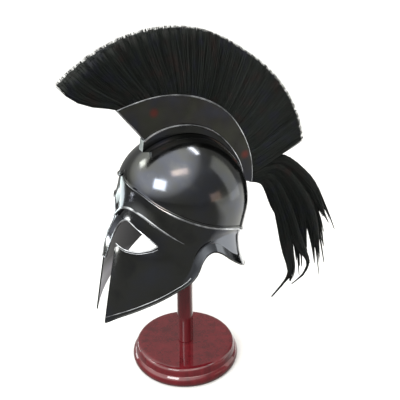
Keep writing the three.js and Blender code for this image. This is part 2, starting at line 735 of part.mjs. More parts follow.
const bowl = bowlPiece();
const crownTop = capTop(bowl);
const root = new THREE.Group();
root.add(helmet);
addPiece(root, 'stand_base', standing(baseGeometry()), wood);
addPiece(root, 'stand_post', standing(postGeometry(crownTop)), wood);
addPiece(root, 'stand_cap', standing(capGeometry(crownTop)), wood);
addPiece(helmet, 'skull_bowl', geometryOf(bowl), steel);
addPiece(helmet, 'face_mask', geometryOf(maskPiece()), steel);
addPiece(helmet, 'crest_plinth', geometryOf(plinthPiece()), steel);
addPiece(helmet, 'crest_box', geometryOf(crestBoxPiece()), steel);
addPiece(helmet, 'crest_brush', geometryOf(brushPiece()), hair);
addPiece(helmet, 'crest_tail', geometryOf(tailPiece()), hair);

export default root;
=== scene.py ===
"""Finish of a corinthian helmet with a hair crest, on its turned wooden stand."""

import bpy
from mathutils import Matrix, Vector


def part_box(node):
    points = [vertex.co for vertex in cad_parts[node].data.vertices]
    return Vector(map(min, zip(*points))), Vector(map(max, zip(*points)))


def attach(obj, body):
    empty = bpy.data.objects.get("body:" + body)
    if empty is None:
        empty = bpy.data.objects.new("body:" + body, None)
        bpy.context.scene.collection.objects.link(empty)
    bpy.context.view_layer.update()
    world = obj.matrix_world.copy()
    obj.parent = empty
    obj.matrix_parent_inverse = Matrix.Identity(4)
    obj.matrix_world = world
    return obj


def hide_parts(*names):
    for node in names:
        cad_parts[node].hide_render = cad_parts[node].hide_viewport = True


bl_info = {
    "name": "Corinthian Helmet",
    "version": (1, 0, 0),
    "blender": (4, 5, 0),
    "location": "3D View > Sidebar > Helmet",
    "description": "Builds a crested corinthian helmet on its stand, with its finishes and its studio",
    "category": "Object",
}

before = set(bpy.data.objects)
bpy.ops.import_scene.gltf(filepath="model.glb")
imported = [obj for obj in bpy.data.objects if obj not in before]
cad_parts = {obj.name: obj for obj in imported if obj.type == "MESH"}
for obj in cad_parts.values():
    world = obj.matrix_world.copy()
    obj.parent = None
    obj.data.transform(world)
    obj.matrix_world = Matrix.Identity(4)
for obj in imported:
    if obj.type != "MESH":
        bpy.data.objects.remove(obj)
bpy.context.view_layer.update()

from math import cos, pi, radians, sin

import bmesh
import bpy
import numpy as np
from bpy.props import FloatProperty, FloatVectorProperty, IntProperty, PointerProperty
from bpy.types import Operator, Panel, PropertyGroup
from mathutils import Matrix, Vector

BASE_LOW, BASE_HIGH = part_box("stand_base")
POST_LOW, POST_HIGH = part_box("stand_post")
CAP_LOW, CAP_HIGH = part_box("stand_cap")
MM = 0.001
EDGE_ROUND = 0.4 * MM

# Sections of the skull and mask. drop is a share of the mask's drop below the equator, width, front
# and back are shares of the skull's, and round is the exponent of the front half's superellipse.
SECTIONS = [
    {"drop": 0.00, "width": 1.000, "front": 1.000, "back": 1.000, "round": 2.00},
    {"drop": 0.10, "width": 1.000, "front": 0.998, "back": 0.992, "round": 1.96},
    {"drop": 0.20, "width": 1.002, "front": 1.000, "back": 0.972, "round": 1.92},
    {"drop": 0.30, "width": 1.012, "front": 1.045, "back": 0.950, "round": 1.88},
    {"drop": 0.40, "width": 1.035, "front": 1.095, "back": 0.940, "round": 1.86},
    {"drop": 0.52, "width": 1.045, "front": 1.110, "back": 0.930, "round": 1.86},
    {"drop": 0.70, "width": 1.005, "front": 1.120, "back": 0.915, "round": 1.86},
    {"drop": 1.00, "width": 0.930, "front": 1.133, "back": 0.900, "round": 1.86},
]

# Level of the bowl's lower edge, as a share from its lowest at the nape up to its peak in front
RIDGE = [
    {"turn": 0, "level": 1.000},
    {"turn": 5, "level": 0.930},
    {"turn": 10, "level": 0.880},
    {"turn": 18, "level": 0.850},
    {"turn": 30, "level": 0.815},
    {"turn": 41, "level": 0.743},
    {"turn": 55, "level": 0.638},
    {"turn": 67, "level": 0.562},
    {"turn": 92, "level": 0.438},
    {"turn": 117, "level": 0.343},
    {"turn": 131, "level": 0.280},
    {"turn": 150, "level": 0.143},
    {"turn": 180, "level": 0.000},
]

# The brow line, whose drop is a share of the eye's, and how strongly it stands out
BROW = [
    {"turn": 0, "drop": 0.46, "strength": 1.00},
    {"turn": 3, "drop": 0.37, "strength": 1.00},
    {"turn": 11, "drop": 0.21, "strength": 1.00},
    {"turn": 20, "drop": 0.15, "strength": 1.00},
    {"turn": 29, "drop": 0.165, "strength": 1.00},
    {"turn": 38, "drop": 0.225, "strength": 0.95},
    {"turn": 52, "drop": 0.385, "strength": 0.75},
    {"turn": 68, "drop": 0.57, "strength": 0.40},
    {"turn": 82, "drop": 0.72, "strength": 0.00},
]

BROW_UNDERCUT = 3 * MM

# The nasal's keel: its width in half widths of the nasal, where it begins and over what it rises as
# shares of the eye's drop, and the exponent of its slope
KEEL = {"wide": 1.6, "start": 0.35, "run": 0.55, "slope": 1.15}

# The turned-out edge round the neck: start and end are shares of its drop, reach of its flare,
# and curl is how late it turns out
FLARE = [
    {"turn": 82, "start": 0.44, "end": 0.58, "reach": 0.00, "curl": 1.2},
    {"turn": 97, "start": 0.41, "end": 0.54, "reach": 0.00, "curl": 1.2},
    {"turn": 104, "start": 0.36, "end": 0.52, "reach": 0.02, "curl": 1.2},
    {"turn": 112, "start": 0.31, "end": 0.55, "reach": 0.10, "curl": 1.2},
    {"turn": 122, "start": 0.29, "end": 0.65, "reach": 0.30, "curl": 1.2},
    {"turn": 136, "start": 0.34, "end": 0.77, "reach": 0.58, "curl": 1.3},
    {"turn": 150, "start": 0.42, "end": 0.88, "reach": 0.80, "curl": 1.5},
    {"turn": 165, "start": 0.50, "end": 0.96, "reach": 0.94, "curl": 1.7},
    {"turn": 180, "start": 0.53, "end": 1.00, "reach": 1.00, "curl": 1.7},
]

# The flange beside the notch: out is how far it stands out as a share of its width, wide is where the
# crease that it starts from runs, in widths from the edge, and crease how deep that is
FLANGE = [
    {"turn": 76, "out": 0.00, "wide": 1.00, "crease": 0.00},
    {"turn": 84, "out": 0.12, "wide": 1.05, "crease": 0.70},
    {"turn": 90, "out": 0.30, "wide": 1.10, "crease": 1.00},
    {"turn": 98, "out": 0.42, "wide": 1.15, "crease": 1.00},
    {"turn": 106, "out": 0.58, "wide": 1.60, "crease": 1.00},
    {"turn": 118, "out": 0.66, "wide": 2.60, "crease": 1.00},
    {"turn": 132, "out": 0.50, "wide": 3.60, "crease": 0.85},
    {"turn": 152, "out": 0.12, "wide": 4.20, "crease": 0.60},
    {"turn": 180, "out": 0.00, "wide": 4.20, "crease": 0.50},
]

# How far the crease fades inwards, in its own distances from the edge, and over what height it fades
# in under the bowl's edge
CREASE_FADE = 1.4
CREASE_TOP = 12 * MM

# How far over the crease the rubbed finish reaches, over what it fades, and how strong it gets
RUBBED = {"reach": 1.10, "fade": 0.16, "strength": 1.3}

# Half width of the nasal's end, as a share of the eye's reach
NASAL_TIP = 0.095

# Half of the face opening seen from the front, as shares of the eye's reach and drop
NASAL_AND_LID = [
    {"across": 0.135, "down": 1.19},
    {"across": 0.162, "down": 0.97},
    {"across": 0.162, "down": 0.80},
    {"across": 0.176, "down": 0.66},
    {"across": 0.240, "down": 0.52},
    {"across": 0.390, "down": 0.45},
    {"across": 0.640, "down": 0.535},
    {"across": 0.844, "down": 0.638},
    {"across": 1.000, "down": 0.755},
]
LOWER_LID = [
    {"across": 1.000, "down": 0.755},
    {"across": 0.948, "down": 0.840},
    {"across": 0.857, "down": 0.915},
    {"across": 0.740, "down": 0.972},
    {"across": 0.571, "down": 1.000},
    {"across": 0.430, "down": 0.990},
    {"across": 0.286, "down": 0.962},
]

# Lower edge of the cheek, the notch and the neck seen from the side, as shares of the skull's back
# and of the cheek's length
LOWER_EDGE = [
    {"along": -0.983, "down": 1.000},
    {"along": -0.860, "down": 0.899},
    {"along": -0.653, "down": 0.786},
    {"along": -0.421, "down": 0.677},
    {"along": -0.240, "down": 0.590},
    {"along": -0.091, "down": 0.520},
    {"along": -0.025, "down": 0.467},
    {"along": 0.008, "down": 0.419},
    {"along": 0.033, "down": 0.367},
    {"along": 0.074, "down": 0.323},
    {"along": 0.132, "down": 0.293},
    {"along": 0.200, "down": 0.283},
    {"along": 0.289, "down": 0.297},
    {"along": 0.372, "down": 0.323},
    {"along": 0.520, "down": 0.376},
    {"along": 0.744, "down": 0.441},
    {"along": 0.967, "down": 0.490},
    {"along": 1.240, "down": 0.545},
    {"along": 1.500, "down": 0.570},
]

# The crest in the fore-and-aft plane, turned about the skull's centre. plinth, rim and hair are
# shares of those pieces' heights, and lean turns the hair's tips.
CREST = [
    {"turn": -44, "plinth": 0.85, "rim": 1.24, "hair": 0.82, "lean": -9},
    {"turn": -35, "plinth": 1.00, "rim": 1.15, "hair": 0.87, "lean": -7},
    {"turn": -20, "plinth": 1.03, "rim": 1.05, "hair": 0.93, "lean": -5},
    {"turn": 0, "plinth": 0.91, "rim": 0.92, "hair": 0.95, "lean": -3},
    {"turn": 20, "plinth": 0.74, "rim": 0.79, "hair": 0.90, "lean": -3},
    {"turn": 40, "plinth": 0.48, "rim": 0.61, "hair": 0.95, "lean": -3},
    {"turn": 60, "plinth": 0.33, "rim": 0.45, "hair": 0.98, "lean": -5},
    {"turn": 81, "plinth": 0.10, "rim": 0.29, "hair": 0.98, "lean": -11},
]

# Turns at which the crest's pieces and the brush's hair begin and end
CREST_FRONT = {"root": -48.5, "foot": -41.5, "plinth": -42.5, "rim": -44}
CREST_REAR = {"foot": 79, "rim": 81}
BRUSH_REAR = {"rim": 75}

# Over how many degrees the first hairs droop, and by how many at mid length and at the tip
FRONT_FAN = {"turns": 5.0, "belly": 1.9, "tip": 1.4}

# Half thickness of the brush along the hair, as a share of its thickness
BRUSH_SWELL = [
    {"share": 0.00, "wide": 0.13},
    {"share": 0.22, "wide": 0.36},
    {"share": 0.60, "wide": 0.48},
    {"share": 0.90, "wide": 0.46},
    {"share": 1.00, "wide": 0.34},
]

# Locks of the tail, from the crest's rear end. back and down are shares of its reach and drop, side and
# width of its thickness. core is the share of a lock that its solid heart fills, wisps is how many its
# hairs gather into, and gather is how tightly.
TAIL = [
    {"back": [0.19, 0.50, 0.75, 0.95], "down": [-0.17, -0.02, 0.20, 0.42], "side": 0.12, "width": 0.36},
    {"back": [0.20, 0.49, 0.75, 0.98], "down": [-0.15, 0.02, 0.33, 0.75], "side": -0.14, "width": 0.40},
    {"back": [0.19, 0.46, 0.68, 0.91], "down": [-0.12, 0.06, 0.34, 0.83], "side": 0.18, "width": 0.40},
    {"back": [0.18, 0.44, 0.63, 0.79], "down": [-0.09, 0.11, 0.40, 0.73], "side": -0.02, "width": 0.42},
    {"back": [0.16, 0.40, 0.57, 0.73], "down": [-0.07, 0.15, 0.44, 0.84], "side": -0.20, "width": 0.40},
    {"back": [0.14, 0.36, 0.54, 0.70, 0.77, 0.74, 0.63],
     "down": [-0.05, 0.18, 0.44, 0.60, 0.70, 0.80, 0.88],
     "side": 0.10, "width": 0.38, "core": 0.62, "wisps": 3, "gather": 0.86},
    {"back": [0.12, 0.32, 0.54, 0.61, 0.63, 0.575, 0.47],
     "down": [-0.03, 0.21, 0.62, 0.75, 0.83, 0.89, 1.00],
     "side": 0.00, "width": 0.36, "core": 0.56, "wisps": 2, "gather": 0.80},
    {"back": [0.12, 0.28, 0.38, 0.42], "down": [0.00, 0.16, 0.32, 0.46], "side": -0.08, "width": 0.34},
]
TAIL_SWELL = [
    {"share": 0.00, "size": 0.30},
    {"share": 0.25, "size": 0.75},
    {"share": 0.55, "size": 1.00},
    {"share": 0.85, "size": 0.80},
    {"share": 1.00, "size": 0.50},
]


# Mouldings of the base in millimetres: distance in from its edge and height. Those of its crown give
# the depth under its top.
BASE_TORUS = [(4.5, 0.3), (1.6, 4.2), (0.1, 10), (1.3, 16), (5.0, 20.8)]
BASE_COVE = [(5.8, 21.3), (6.3, 24.5), (7.2, 29.0), (9.0, 33.0)]
BASE_CROWN = [(11.4, 0.2), (12.0, 0), (20, 0)]

# Heights between which the inside turns from bare steel to painted shade, and how bright that painted
# shade is
INSIDE_SHADE_HEIGHTS = (0.188, 0.212)
INSIDE_PAINTED_SHADE = 0.12

# Two reddish spots of painted reflection of a warm lamp on the near side of the crest box: their
# middles, the radii between which they fade in, and what they do to the colour
PAINTED_REFLECTIONS = [(0.0055, -0.0516, 0.488), (0.0055, 0.1157, 0.393)]
REFLECTION_REACH = (0.011, 0.001)
REFLECTION_CAST = (3.0, 0.9, 0.8)

# Painted shade and light of the floor as the steel reflects it: dim and bright, brightening backwards
# and towards the near side
FLOOR_PAINTED_SHADES = (0.25, 1.30)
FLOOR_BACKWARDS = (-0.8, 1.0, 0.0)
FLOOR_BEHIND = (0.0, 0.25)
FLOOR_NEAR_SIDE = (-0.75, -0.45)


def length(name, description, value):
    return FloatProperty(name=name, description=description, default=value, unit="LENGTH", precision=4)


def colour(name, description, value):
    return FloatVectorProperty(
        name=name, description=description, default=value, size=3, min=0, max=1, subtype="COLOR"
    )


class HelmetSizes(PropertyGroup):
    """Sizes of the skull and mask"""

    temple_level: length("Temple level", "Height of the temples above the table", 0.340)
    lean: FloatProperty(name="Lean", description="Backward lean", default=radians(10), subtype="ANGLE")
    width: length("Skull width", "Width of the skull", 0.196)
    front: length("Skull front", "Reach of the skull ahead of its centre", 0.109)
    back: length("Skull back", "Reach of the skull behind its centre", 0.121)
    rise: length("Skull rise", "Height of the crown above the temples", 0.1055)
    ahead: length("Skull ahead", "Distance of the skull's centre ahead of the post", 0.005)
    equator_tilt: length("Equator tilt", "How far the widest level rises in front", 0.015)
    fullness: FloatProperty(name="Fullness", description="Exponent of the dome's profile", default=1.9)
    mask_drop: length("Mask drop", "Depth that the sections are shares of", 0.240)
    sheet: length("Sheet", "Thickness of the metal", 0.0016)
    gap: length("Gap", "Clearance between the pieces", 0.0003)
    ridge_front: length("Ridge front", "Level of the bowl's edge over the nose", 0.037)
    ridge_back: length("Ridge back", "Level of the bowl's edge at the nape", -0.068)
    lap: length("Lap", "How far the bowl laps over the mask", 0.008)
    roll: length("Roll", "How far the bowl's edge is rolled out", 0.0014)
    brow: length("Brow", "How far the brow stands out", 0.004)
    brow_fade: length("Brow fade", "Height over which the brow fades upwards", 0.034)
    keel: length("Keel", "How far the nasal's keel stands out", 0.006)
    nasal_half_width: length("Nasal half width", "Half width of the nasal", 0.013)
    nasal_end: length("Nasal end", "Level of the nasal's end below the temples", 0.112)
    mouth_half_width: length("Mouth half width", "Half width of the mouth slot", 0.022)
    eye_reach: length("Eye reach", "Distance of the eye's outer corner", 0.077)
    eye_drop: length("Eye drop", "Depth of the eye's lower lid", 0.080)
    neck_flare: length("Neck flare", "How far the neck's edge turns out", 0.026)
    neck_drop: length("Neck drop", "Depth of the neck's edge", 0.132)
    cheek_length: length("Cheek length", "Depth of the cheek's tip", 0.229)
    rim: length("Rim", "Radius of the bowl's rolled edge", 0.0020)
    bead: length("Bead", "Radius of the other rolled edges", 0.0013)
    brow_bead: length("Brow bead", "Radius of the brow's ridge", 0.0021)
    flange: length("Flange", "Width of the turned-out edge at the notch", 0.0125)
    crease: length("Crease", "Depth of the crease above that edge", 0.0032)
    hem: length("Hem", "Distance of the embossed line from the cheek's edge", 0.0055)


class CrestSizes(PropertyGroup):
    """Sizes of the crest and its hair"""

    plinth_width: length("Plinth width", "Width of the rail on the skull", 0.016)
    plinth_height: length("Plinth height", "Height that the rail is a share of", 0.016)
    width: length("Box width", "Width of the crest box", 0.011)
    height: length("Box height", "Height that the box is a share of", 0.066)
    sheet: length("Box sheet", "Thickness of the box's walls", 0.0012)
    bead: length("Bead", "Radius of the rolled rim", 0.0018)
    hair_length: length("Hair length", "Height that the brush is a share of", 0.110)
    brush_thickness: length("Brush thickness", "Thickness of the brush", 0.030)
    tail_reach: length("Tail reach", "How far the tail falls back", 0.230)
    tail_drop: length("Tail drop", "How far the tail hangs down", 0.255)
    tail_thickness: length("Tail thickness", "Thickness of the tail from side to side", 0.034)
    lock_depth: length("Lock depth", "Depth of one lock of the tail", 0.025)
    brush_hairs: IntProperty(name="Brush hairs", description="Strands in the brush", default=3600)
    tail_hairs: IntProperty(name="Tail hairs", description="Strands in each of its locks", default=230)
    hair_radius: length("Hair radius", "Radius of a strand", 0.0006)


class Finishes(PropertyGroup):
    """Colours of the finishes"""

    steel: colour("Steel", "Black polished steel", (0.060, 0.062, 0.065))
    worn_steel: colour("Worn steel", "Steel where the edges are rubbed bright", (0.34, 0.35, 0.37))
    rubbed_steel: colour("Rubbed steel", "Steel of the turned-out edge", (0.120, 0.128, 0.146))
    inner_steel: colour("Inner steel", "Bare steel on the inside", (0.30, 0.30, 0.335))
    crest_steel: colour("Crest steel", "Duller steel of the crest", (0.040, 0.040, 0.038))
    hair: colour("Hair", "Black horsehair", (0.0070, 0.0078, 0.0074))
    wood: colour("Wood", "Red-brown stained wood", (0.080, 0.0055, 0.0085))
    floor: colour("Floor", "Pale floor", (0.60, 0.60, 0.60))


def sizes():
    return bpy.context.scene.helmet_sizes


def crest_sizes():
    return bpy.context.scene.crest_sizes


def finishes():
    return bpy.context.scene.helmet_finishes


def read(table, key, column, at):
    """Smooth values of a table's column at places along its first column"""
    xs = np.array([row[key] for row in table], float)
    ys = np.array([row[column] for row in table], float)
    low = np.maximum(np.arange(len(xs)) - 1, 0)
    high = np.minimum(np.arange(len(xs)) + 1, len(xs) - 1)
    slope = (ys[high] - ys[low]) / (xs[high] - xs[low])
    at = np.clip(np.asarray(at, float), xs[0], xs[-1])
    i = np.clip(np.searchsorted(xs, at, side="right") - 1, 0, len(xs) - 2)
    span = xs[i + 1] - xs[i]
    t = (at - xs[i]) / span
    return (
        (1 + 2 * t) * (1 - t) ** 2 * ys[i]
        + t * (1 - t) ** 2 * span * slope[i]
        + t * t * (3 - 2 * t) * ys[i + 1]
        + t * t * (t - 1) * span * slope[i + 1]
    )


def smooth(value):
    value = np.clip(value, 0, 1)
    return value * value * (3 - 2 * value)


def side_turn(angle):
    return np.degrees(np.arccos(np.clip(np.cos(angle), -1, 1)))


def ridge_level(angle):
    s = sizes()
    share = read(RIDGE, "turn", "level", side_turn(angle))
    return s.ridge_back + (s.ridge_front - s.ridge_back) * share


def plain_shell(angle, level):
    """Points of the plain skull and mask at angles round the head and levels, before any relief"""
    s = sizes()
    equator = s.equator_tilt * np.cos(angle)
    rise = np.clip((level - equator) / (s.rise - equator), 0, 1)
    dome = (1 - rise**s.fullness) ** (1 / s.fullness)
    drop = np.maximum(equator - level, 0) / s.mask_drop
    wide = read(SECTIONS, "drop", "width", drop) * dome
    ahead = np.cos(angle) > 0
    fore = read(SECTIONS, "drop", "front", drop) * dome
    aft = read(SECTIONS, "drop", "back", drop) * dome
    power = 2 / np.where(ahead, read(SECTIONS, "drop", "round", drop), 2)
    reach = np.where(ahead, -s.front * fore, s.back * aft)
    x = np.sign(np.sin(angle)) * np.abs(np.sin(angle)) ** power * wide * s.width / 2
    y = np.abs(np.cos(angle)) ** power * reach - s.ahead
    return np.stack([x, y, level + 0 * x], axis=-1)


def unit(vectors):
    return vectors / np.maximum(np.linalg.norm(vectors, axis=-1, keepdims=True), 1e-12)


def shell(angle, level, out):
    """Points of the plain surface moved out along its normal"""
    s = sizes()
    level = np.minimum(level, s.rise - 0.001 * MM)
    turn = 0.01
    rise = np.minimum(0.5 * MM, (s.rise - level) / 2)
    around = plain_shell(angle + turn, level) - plain_shell(angle - turn, level)
    upward = plain_shell(angle, level + rise) - plain_shell(angle, level - rise)
    normal = unit(np.cross(around, upward))
    crown = s.rise - level < 0.02 * MM
    normal = np.where(crown[..., None], np.array([0.0, 0.0, 1.0]), normal)
    return plain_shell(angle, level) + normal * np.asarray(out)[..., None]


def brow_relief(angle, level):
    s = sizes()
    turn = side_turn(angle)
    line = -s.eye_drop * read(BROW, "turn", "drop", turn)
    above = np.clip((level - line) / s.brow_fade, 0, 1)
    below = np.clip((line - level) / BROW_UNDERCUT, 0, 1)
    height = s.brow * read(BROW, "turn", "strength", turn)
    return height * np.where(level > line, (1 - above) ** 2, 1 - smooth(below))


def nose_relief(points):
    s = sizes()
    across = np.clip(np.abs(points[..., 0]) / (KEEL["wide"] * s.nasal_half_width), 0, 1)
    start = smooth((-points[..., 2] - KEEL["start"] * s.eye_drop) / (KEEL["run"] * s.eye_drop))
    ahead = points[..., 1] < 0
    return s.keel * (1 - across) ** KEEL["slope"] * start * ahead


def flare_relief(angle, level):
    s = sizes()
    turn = side_turn(angle)
    start = -s.neck_drop * read(FLARE, "turn", "start", turn)
    end = -s.neck_drop * read(FLARE, "turn", "end", turn)
    amount = np.clip((start - level) / (start - end), 0, 1.15)
    reach = s.neck_flare * read(FLARE, "turn", "reach", turn)
    return np.where(turn < FLARE[0]["turn"], 0, reach * amount ** read(FLARE, "turn", "curl", turn))


def half_face():
    """Near half of the face opening's outline, from the nasal's end round the eye and down the mouth"""
    s = sizes()
    steps = np.linspace(0, 1, 90)
    lid = [(row["across"] * s.eye_reach, -row["down"] * s.eye_drop) for row in NASAL_AND_LID]
    under = [(row["across"] * s.eye_reach, -row["down"] * s.eye_drop) for row in LOWER_LID]
    near = [(NASAL_TIP * s.eye_reach, -s.nasal_end)]
    near += [tuple(point) for point in smooth_line(lid, steps)]
    near += [tuple(point) for point in smooth_line(under, steps)][1:]
    near += [(s.mouth_half_width, under[-1][1]), (s.mouth_half_width, -2 * s.cheek_length)]
    return near


def face_outline():
    near = half_face()
    return np.array(near + [(-x, z) for x, z in reversed(near)])


def way_along(points):
    """How far along a line of points each of them is"""
    return np.concatenate([[0], np.cumsum(np.linalg.norm(np.diff(points, axis=0), axis=1))])


def smooth_line(points, steps):
    """Points at shares of the way along a smooth line through a few points"""
    points = np.array(points, float)
    way = way_along(points)
    rows = [{"way": w, "a": p[0], "b": p[1]} for w, p in zip(way, points)]
    at = steps * way[-1]
    return np.stack([read(rows, "way", "a", at), read(rows, "way", "b", at)], axis=-1)


def edge_outline():
    """What is cut away below the cheek, notch and neck, seen from the side"""
    s = sizes()
    along = [row["along"] * s.back - s.ahead for row in LOWER_EDGE]
    down = [-row["down"] * s.cheek_length for row in LOWER_EDGE]
    line = smooth_line(list(zip(along, down)), np.linspace(0, 1, 160))
    left, right, foot = -2 * s.front, 2 * s.back, -2 * s.cheek_length
    ends = [(right, line[-1][1]), (right, foot), (left, foot), (left, line[0][1])]
    return np.concatenate([line, np.array(ends)])


def outline_distance(points, outline):
    """Distances of flat points to a closed outline, above 0 outside it"""
    start = outline
    run = np.roll(outline, -1, axis=0) - outline
    square = np.maximum((run**2).sum(axis=1), 1e-18)
    result = np.empty(len(points))
    for first in range(0, len(points), 8000):
        part = points[first : first + 8000, None, :]
        offset = part - start
        t = np.clip((offset * run).sum(axis=2) / square, 0, 1)
        near = np.linalg.norm(offset - run * t[..., None], axis=2).min(axis=1)
        y = part[..., 1]
        y0, y1 = start[:, 1], start[:, 1] + run[:, 1]
        crosses = (y0 > y) != (y1 > y)
        slope = np.where(run[:, 1] == 0, 1, run[:, 1])
        hit = start[:, 0] + (y - y0) * run[:, 0] / slope
        inside = (crosses & (part[..., 0] < hit)).sum(axis=1) % 2 == 1
        result[first : first + 8000] = np.where(inside, -near, near)
    return result


def relief(angle, level):
    """How far the brow, the flared neck and the nasal's keel stand out from the plain shell"""
    keel = nose_relief(plain_shell(angle, level))
    return brow_relief(angle, level) + flare_relief(angle, level) + keel


def mask_margins(angle, level, face, edge):
    """Distances from the face opening's outline and from the lower edge, above 0 on the metal"""
    spots = shell(angle, level, relief(angle, level))
    opening = outline_distance(spots[:, [0, 2]], face)
    opening = np.where(spots[:, 1] < 0, opening, 1.0)
    below = outline_distance(spots[:, [1, 2]], edge)
    return opening, below


def across_flange(turn, below):
    """Share of the way across the turned-out edge, from 0 at the rim"""
    return below / (read(FLANGE, "turn", "wide", turn) * sizes().flange)


def finished(angle, level, below, out):
    """Points at a distance out from the finished mask, given their distances from its lower edge"""
    s = sizes()
    turn = side_turn(angle)
    width = read(FLANGE, "turn", "out", turn) * s.flange
    flange = width * np.clip(1 - below / s.flange, 0, 1.1)
    inward = across_flange(turn, below)
    fade = np.clip(1 - (inward - 1) / CREASE_FADE, 0, 1) ** 2
    dip = np.where(inward < 1, np.clip(inward, 0, 1), fade)
    dip = dip * s.crease * read(FLANGE, "turn", "crease", turn)
    dip = dip * smooth((ridge_level(angle) - level) / CREASE_TOP)
    return shell(angle, level, relief(angle, level) + flange - dip + out)


def rubbed(angle, below):
    """How bright the turned-out edge is rubbed, from 0 to 1"""
    turn = side_turn(angle)
    within = smooth((RUBBED["reach"] - across_flange(turn, below)) / RUBBED["fade"])
    return within * np.clip(RUBBED["strength"] * read(FLANGE, "turn", "crease", turn), 0, 1)


def seen_from_front(targets):
    """Angles and levels of the mask's points that stand at places x, z seen from the front"""
    s = sizes()
    angle = np.arcsin(np.clip(targets[:, 0] / (1.03 * s.width / 2), -0.98, 0.98))
    level = targets[:, 1].copy()
    step, nudge = 1e-4, 0.01 * MM

    def place(a, z):
        return shell(a, z, relief(a, z))[:, [0, 2]]

    for _ in range(12):
        here = place(angle, level)
        by_turn = (place(angle + step, level) - here) / step
        by_level = (place(angle, level + nudge) - here) / nudge
        miss = targets - here
        area = by_turn[:, 0] * by_level[:, 1] - by_turn[:, 1] * by_level[:, 0]
        area = np.where(np.abs(area) < 1e-3, 1e-3, area)
        turn = (miss[:, 0] * by_level[:, 1] - miss[:, 1] * by_level[:, 0]) / area
        rise = (by_turn[:, 0] * miss[:, 1] - by_turn[:, 1] * miss[:, 0]) / area
        angle = angle + np.clip(turn, -0.1, 0.1)
        level = level + np.clip(rise, -5 * MM, 5 * MM)
    return angle, level


def level_beside(angle, distance, edge):
    """Levels that stand at a distance inside the lower edge"""
    s = sizes()
    low = np.full_like(angle, -1.1 * s.cheek_length)
    high = ridge_level(angle)
    for _ in range(24):
        level = (low + high) / 2
        spots = shell(angle, level, relief(angle, level))
        outside = outline_distance(spots[:, [1, 2]], edge) > distance
        low, high = np.where(outside, low, level), np.where(outside, level, high)
    return level


def helmet_matrix():
    s = sizes()
    return Matrix.Translation((0, 0, s.temple_level)) @ Matrix.Rotation(-s.lean, 4, "X")


def new_grid(columns, rows):
    """Flat sheet of quads with its corners at 0 and 1 both ways"""
    sheet = bmesh.new()
    bmesh.ops.create_grid(sheet, x_segments=columns, y_segments=rows, size=0.5)
    bmesh.ops.translate(sheet, verts=sheet.verts, vec=(0.5, 0.5, 0))
    return sheet


def places(sheet):
    flat = np.array([vert.co for vert in sheet.verts])
    return flat[:, 0], flat[:, 1]


def put(sheet, spots):
    for vert, spot in zip(sheet.verts, spots):
        vert.co = spot


def as_mesh(name, shape):
    mesh = bpy.data.meshes.new(name)
    shape.to_mesh(mesh)
    shape.free()
    return mesh


def take_in(shape, mesh):
    """Adds a mesh to a shape and drops it"""
    shape.from_mesh(mesh)
    bpy.data.meshes.remove(mesh)


def evaluated(thing):
    """Mesh of a piece or curve with its modifiers or thickness"""
    seen = bpy.context.evaluated_depsgraph_get()
    return bpy.data.meshes.new_from_object(thing.evaluated_get(seen))


def finish_piece(name, shape, material, matrix=None, smooth_angle=None):
    """Mesh of a shape, in the object's frame, as a piece that rides on the one body"""
    if matrix is not None:
        bmesh.ops.transform(shape, matrix=matrix, verts=shape.verts)
    mesh = as_mesh(name, shape)
    mesh.shade_smooth()
    if smooth_angle is not None:
        mesh.set_sharp_from_angle(angle=radians(smooth_angle))
    mesh.materials.append(material)
    piece = bpy.data.objects.new(name, mesh)
    bpy.context.collection.objects.link(piece)
    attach(piece, "root")
    return piece


def face_outwards(shape):
    """Turns an open sheet's faces away from the middle of the helmet"""
    total = sum(face.normal.dot(face.calc_center_median()) for face in shape.faces)
    if total < 0:
        bmesh.ops.reverse_faces(shape, faces=shape.faces)


def wrap_sheet(shape):
    bmesh.ops.remove_doubles(shape, verts=shape.verts, dist=0.01 * MM)
    shape.normal_update()
    face_outwards(shape)
    shape.normal_update()


def close_body(sheet):
    """Joins a sheet's seam, fills its ends and turns its faces outwards"""
    bmesh.ops.remove_doubles(sheet, verts=sheet.verts, dist=0.001 * MM)
    bmesh.ops.holes_fill(sheet, edges=[edge for edge in sheet.edges if edge.is_boundary], sides=0)
    bmesh.ops.recalc_face_normals(sheet, faces=sheet.faces)


def thicken(piece):
    """Gives a sheet its thickness, with the inside in the piece's third finish"""
    for make in (worn_steel, inner_steel):
        piece.data.materials.append(once(make))
    wall = piece.modifiers.new("Wall", "SOLIDIFY")
    wall.thickness = sizes().sheet
    wall.offset = -1
    wall.material_offset = 2
    round_edge = piece.modifiers.new("Round edge", "BEVEL")
    round_edge.width = EDGE_ROUND
    round_edge.segments = 2
    round_edge.limit_method = "ANGLE"
    round_edge.angle_limit = radians(50)


def settle(piece, bright, plain=None):
    """Applies a piece's modifiers and joins rods to it, bright ones of worn steel and plain ones"""
    if len(piece.data.materials) < 2:
        piece.data.materials.append(once(worn_steel))
    shape = bmesh.new()
    take_in(shape, evaluated(piece))
    for rods, slot in ((bright, 1), (plain, 0)):
        if rods is None:
            continue
        rods.transform(helmet_matrix())
        before = len(shape.faces)
        take_in(shape, rods)
        shape.faces.ensure_lookup_table()
        for face in shape.faces[before:]:
            face.material_index = slot
    piece.modifiers.clear()
    shape.to_mesh(piece.data)
    shape.free()
    piece.data.shade_smooth()
    piece.data.set_sharp_from_angle(angle=radians(40))


def even_route(points, pitch):
    """Points at an even pitch along a line through space"""
    way = way_along(points)
    at = np.linspace(0, way[-1], max(round(way[-1] / pitch), 2) + 1)
    return np.stack([np.interp(at, way, points[:, axis]) for axis in range(points.shape[1])], axis=-1)


def mirrored(route):
    return route * np.array([-1.0, 1.0, 1.0])


def once(make):
    """The material that a function makes, made only once"""
    return bpy.data.materials.get(make.__name__) or make()


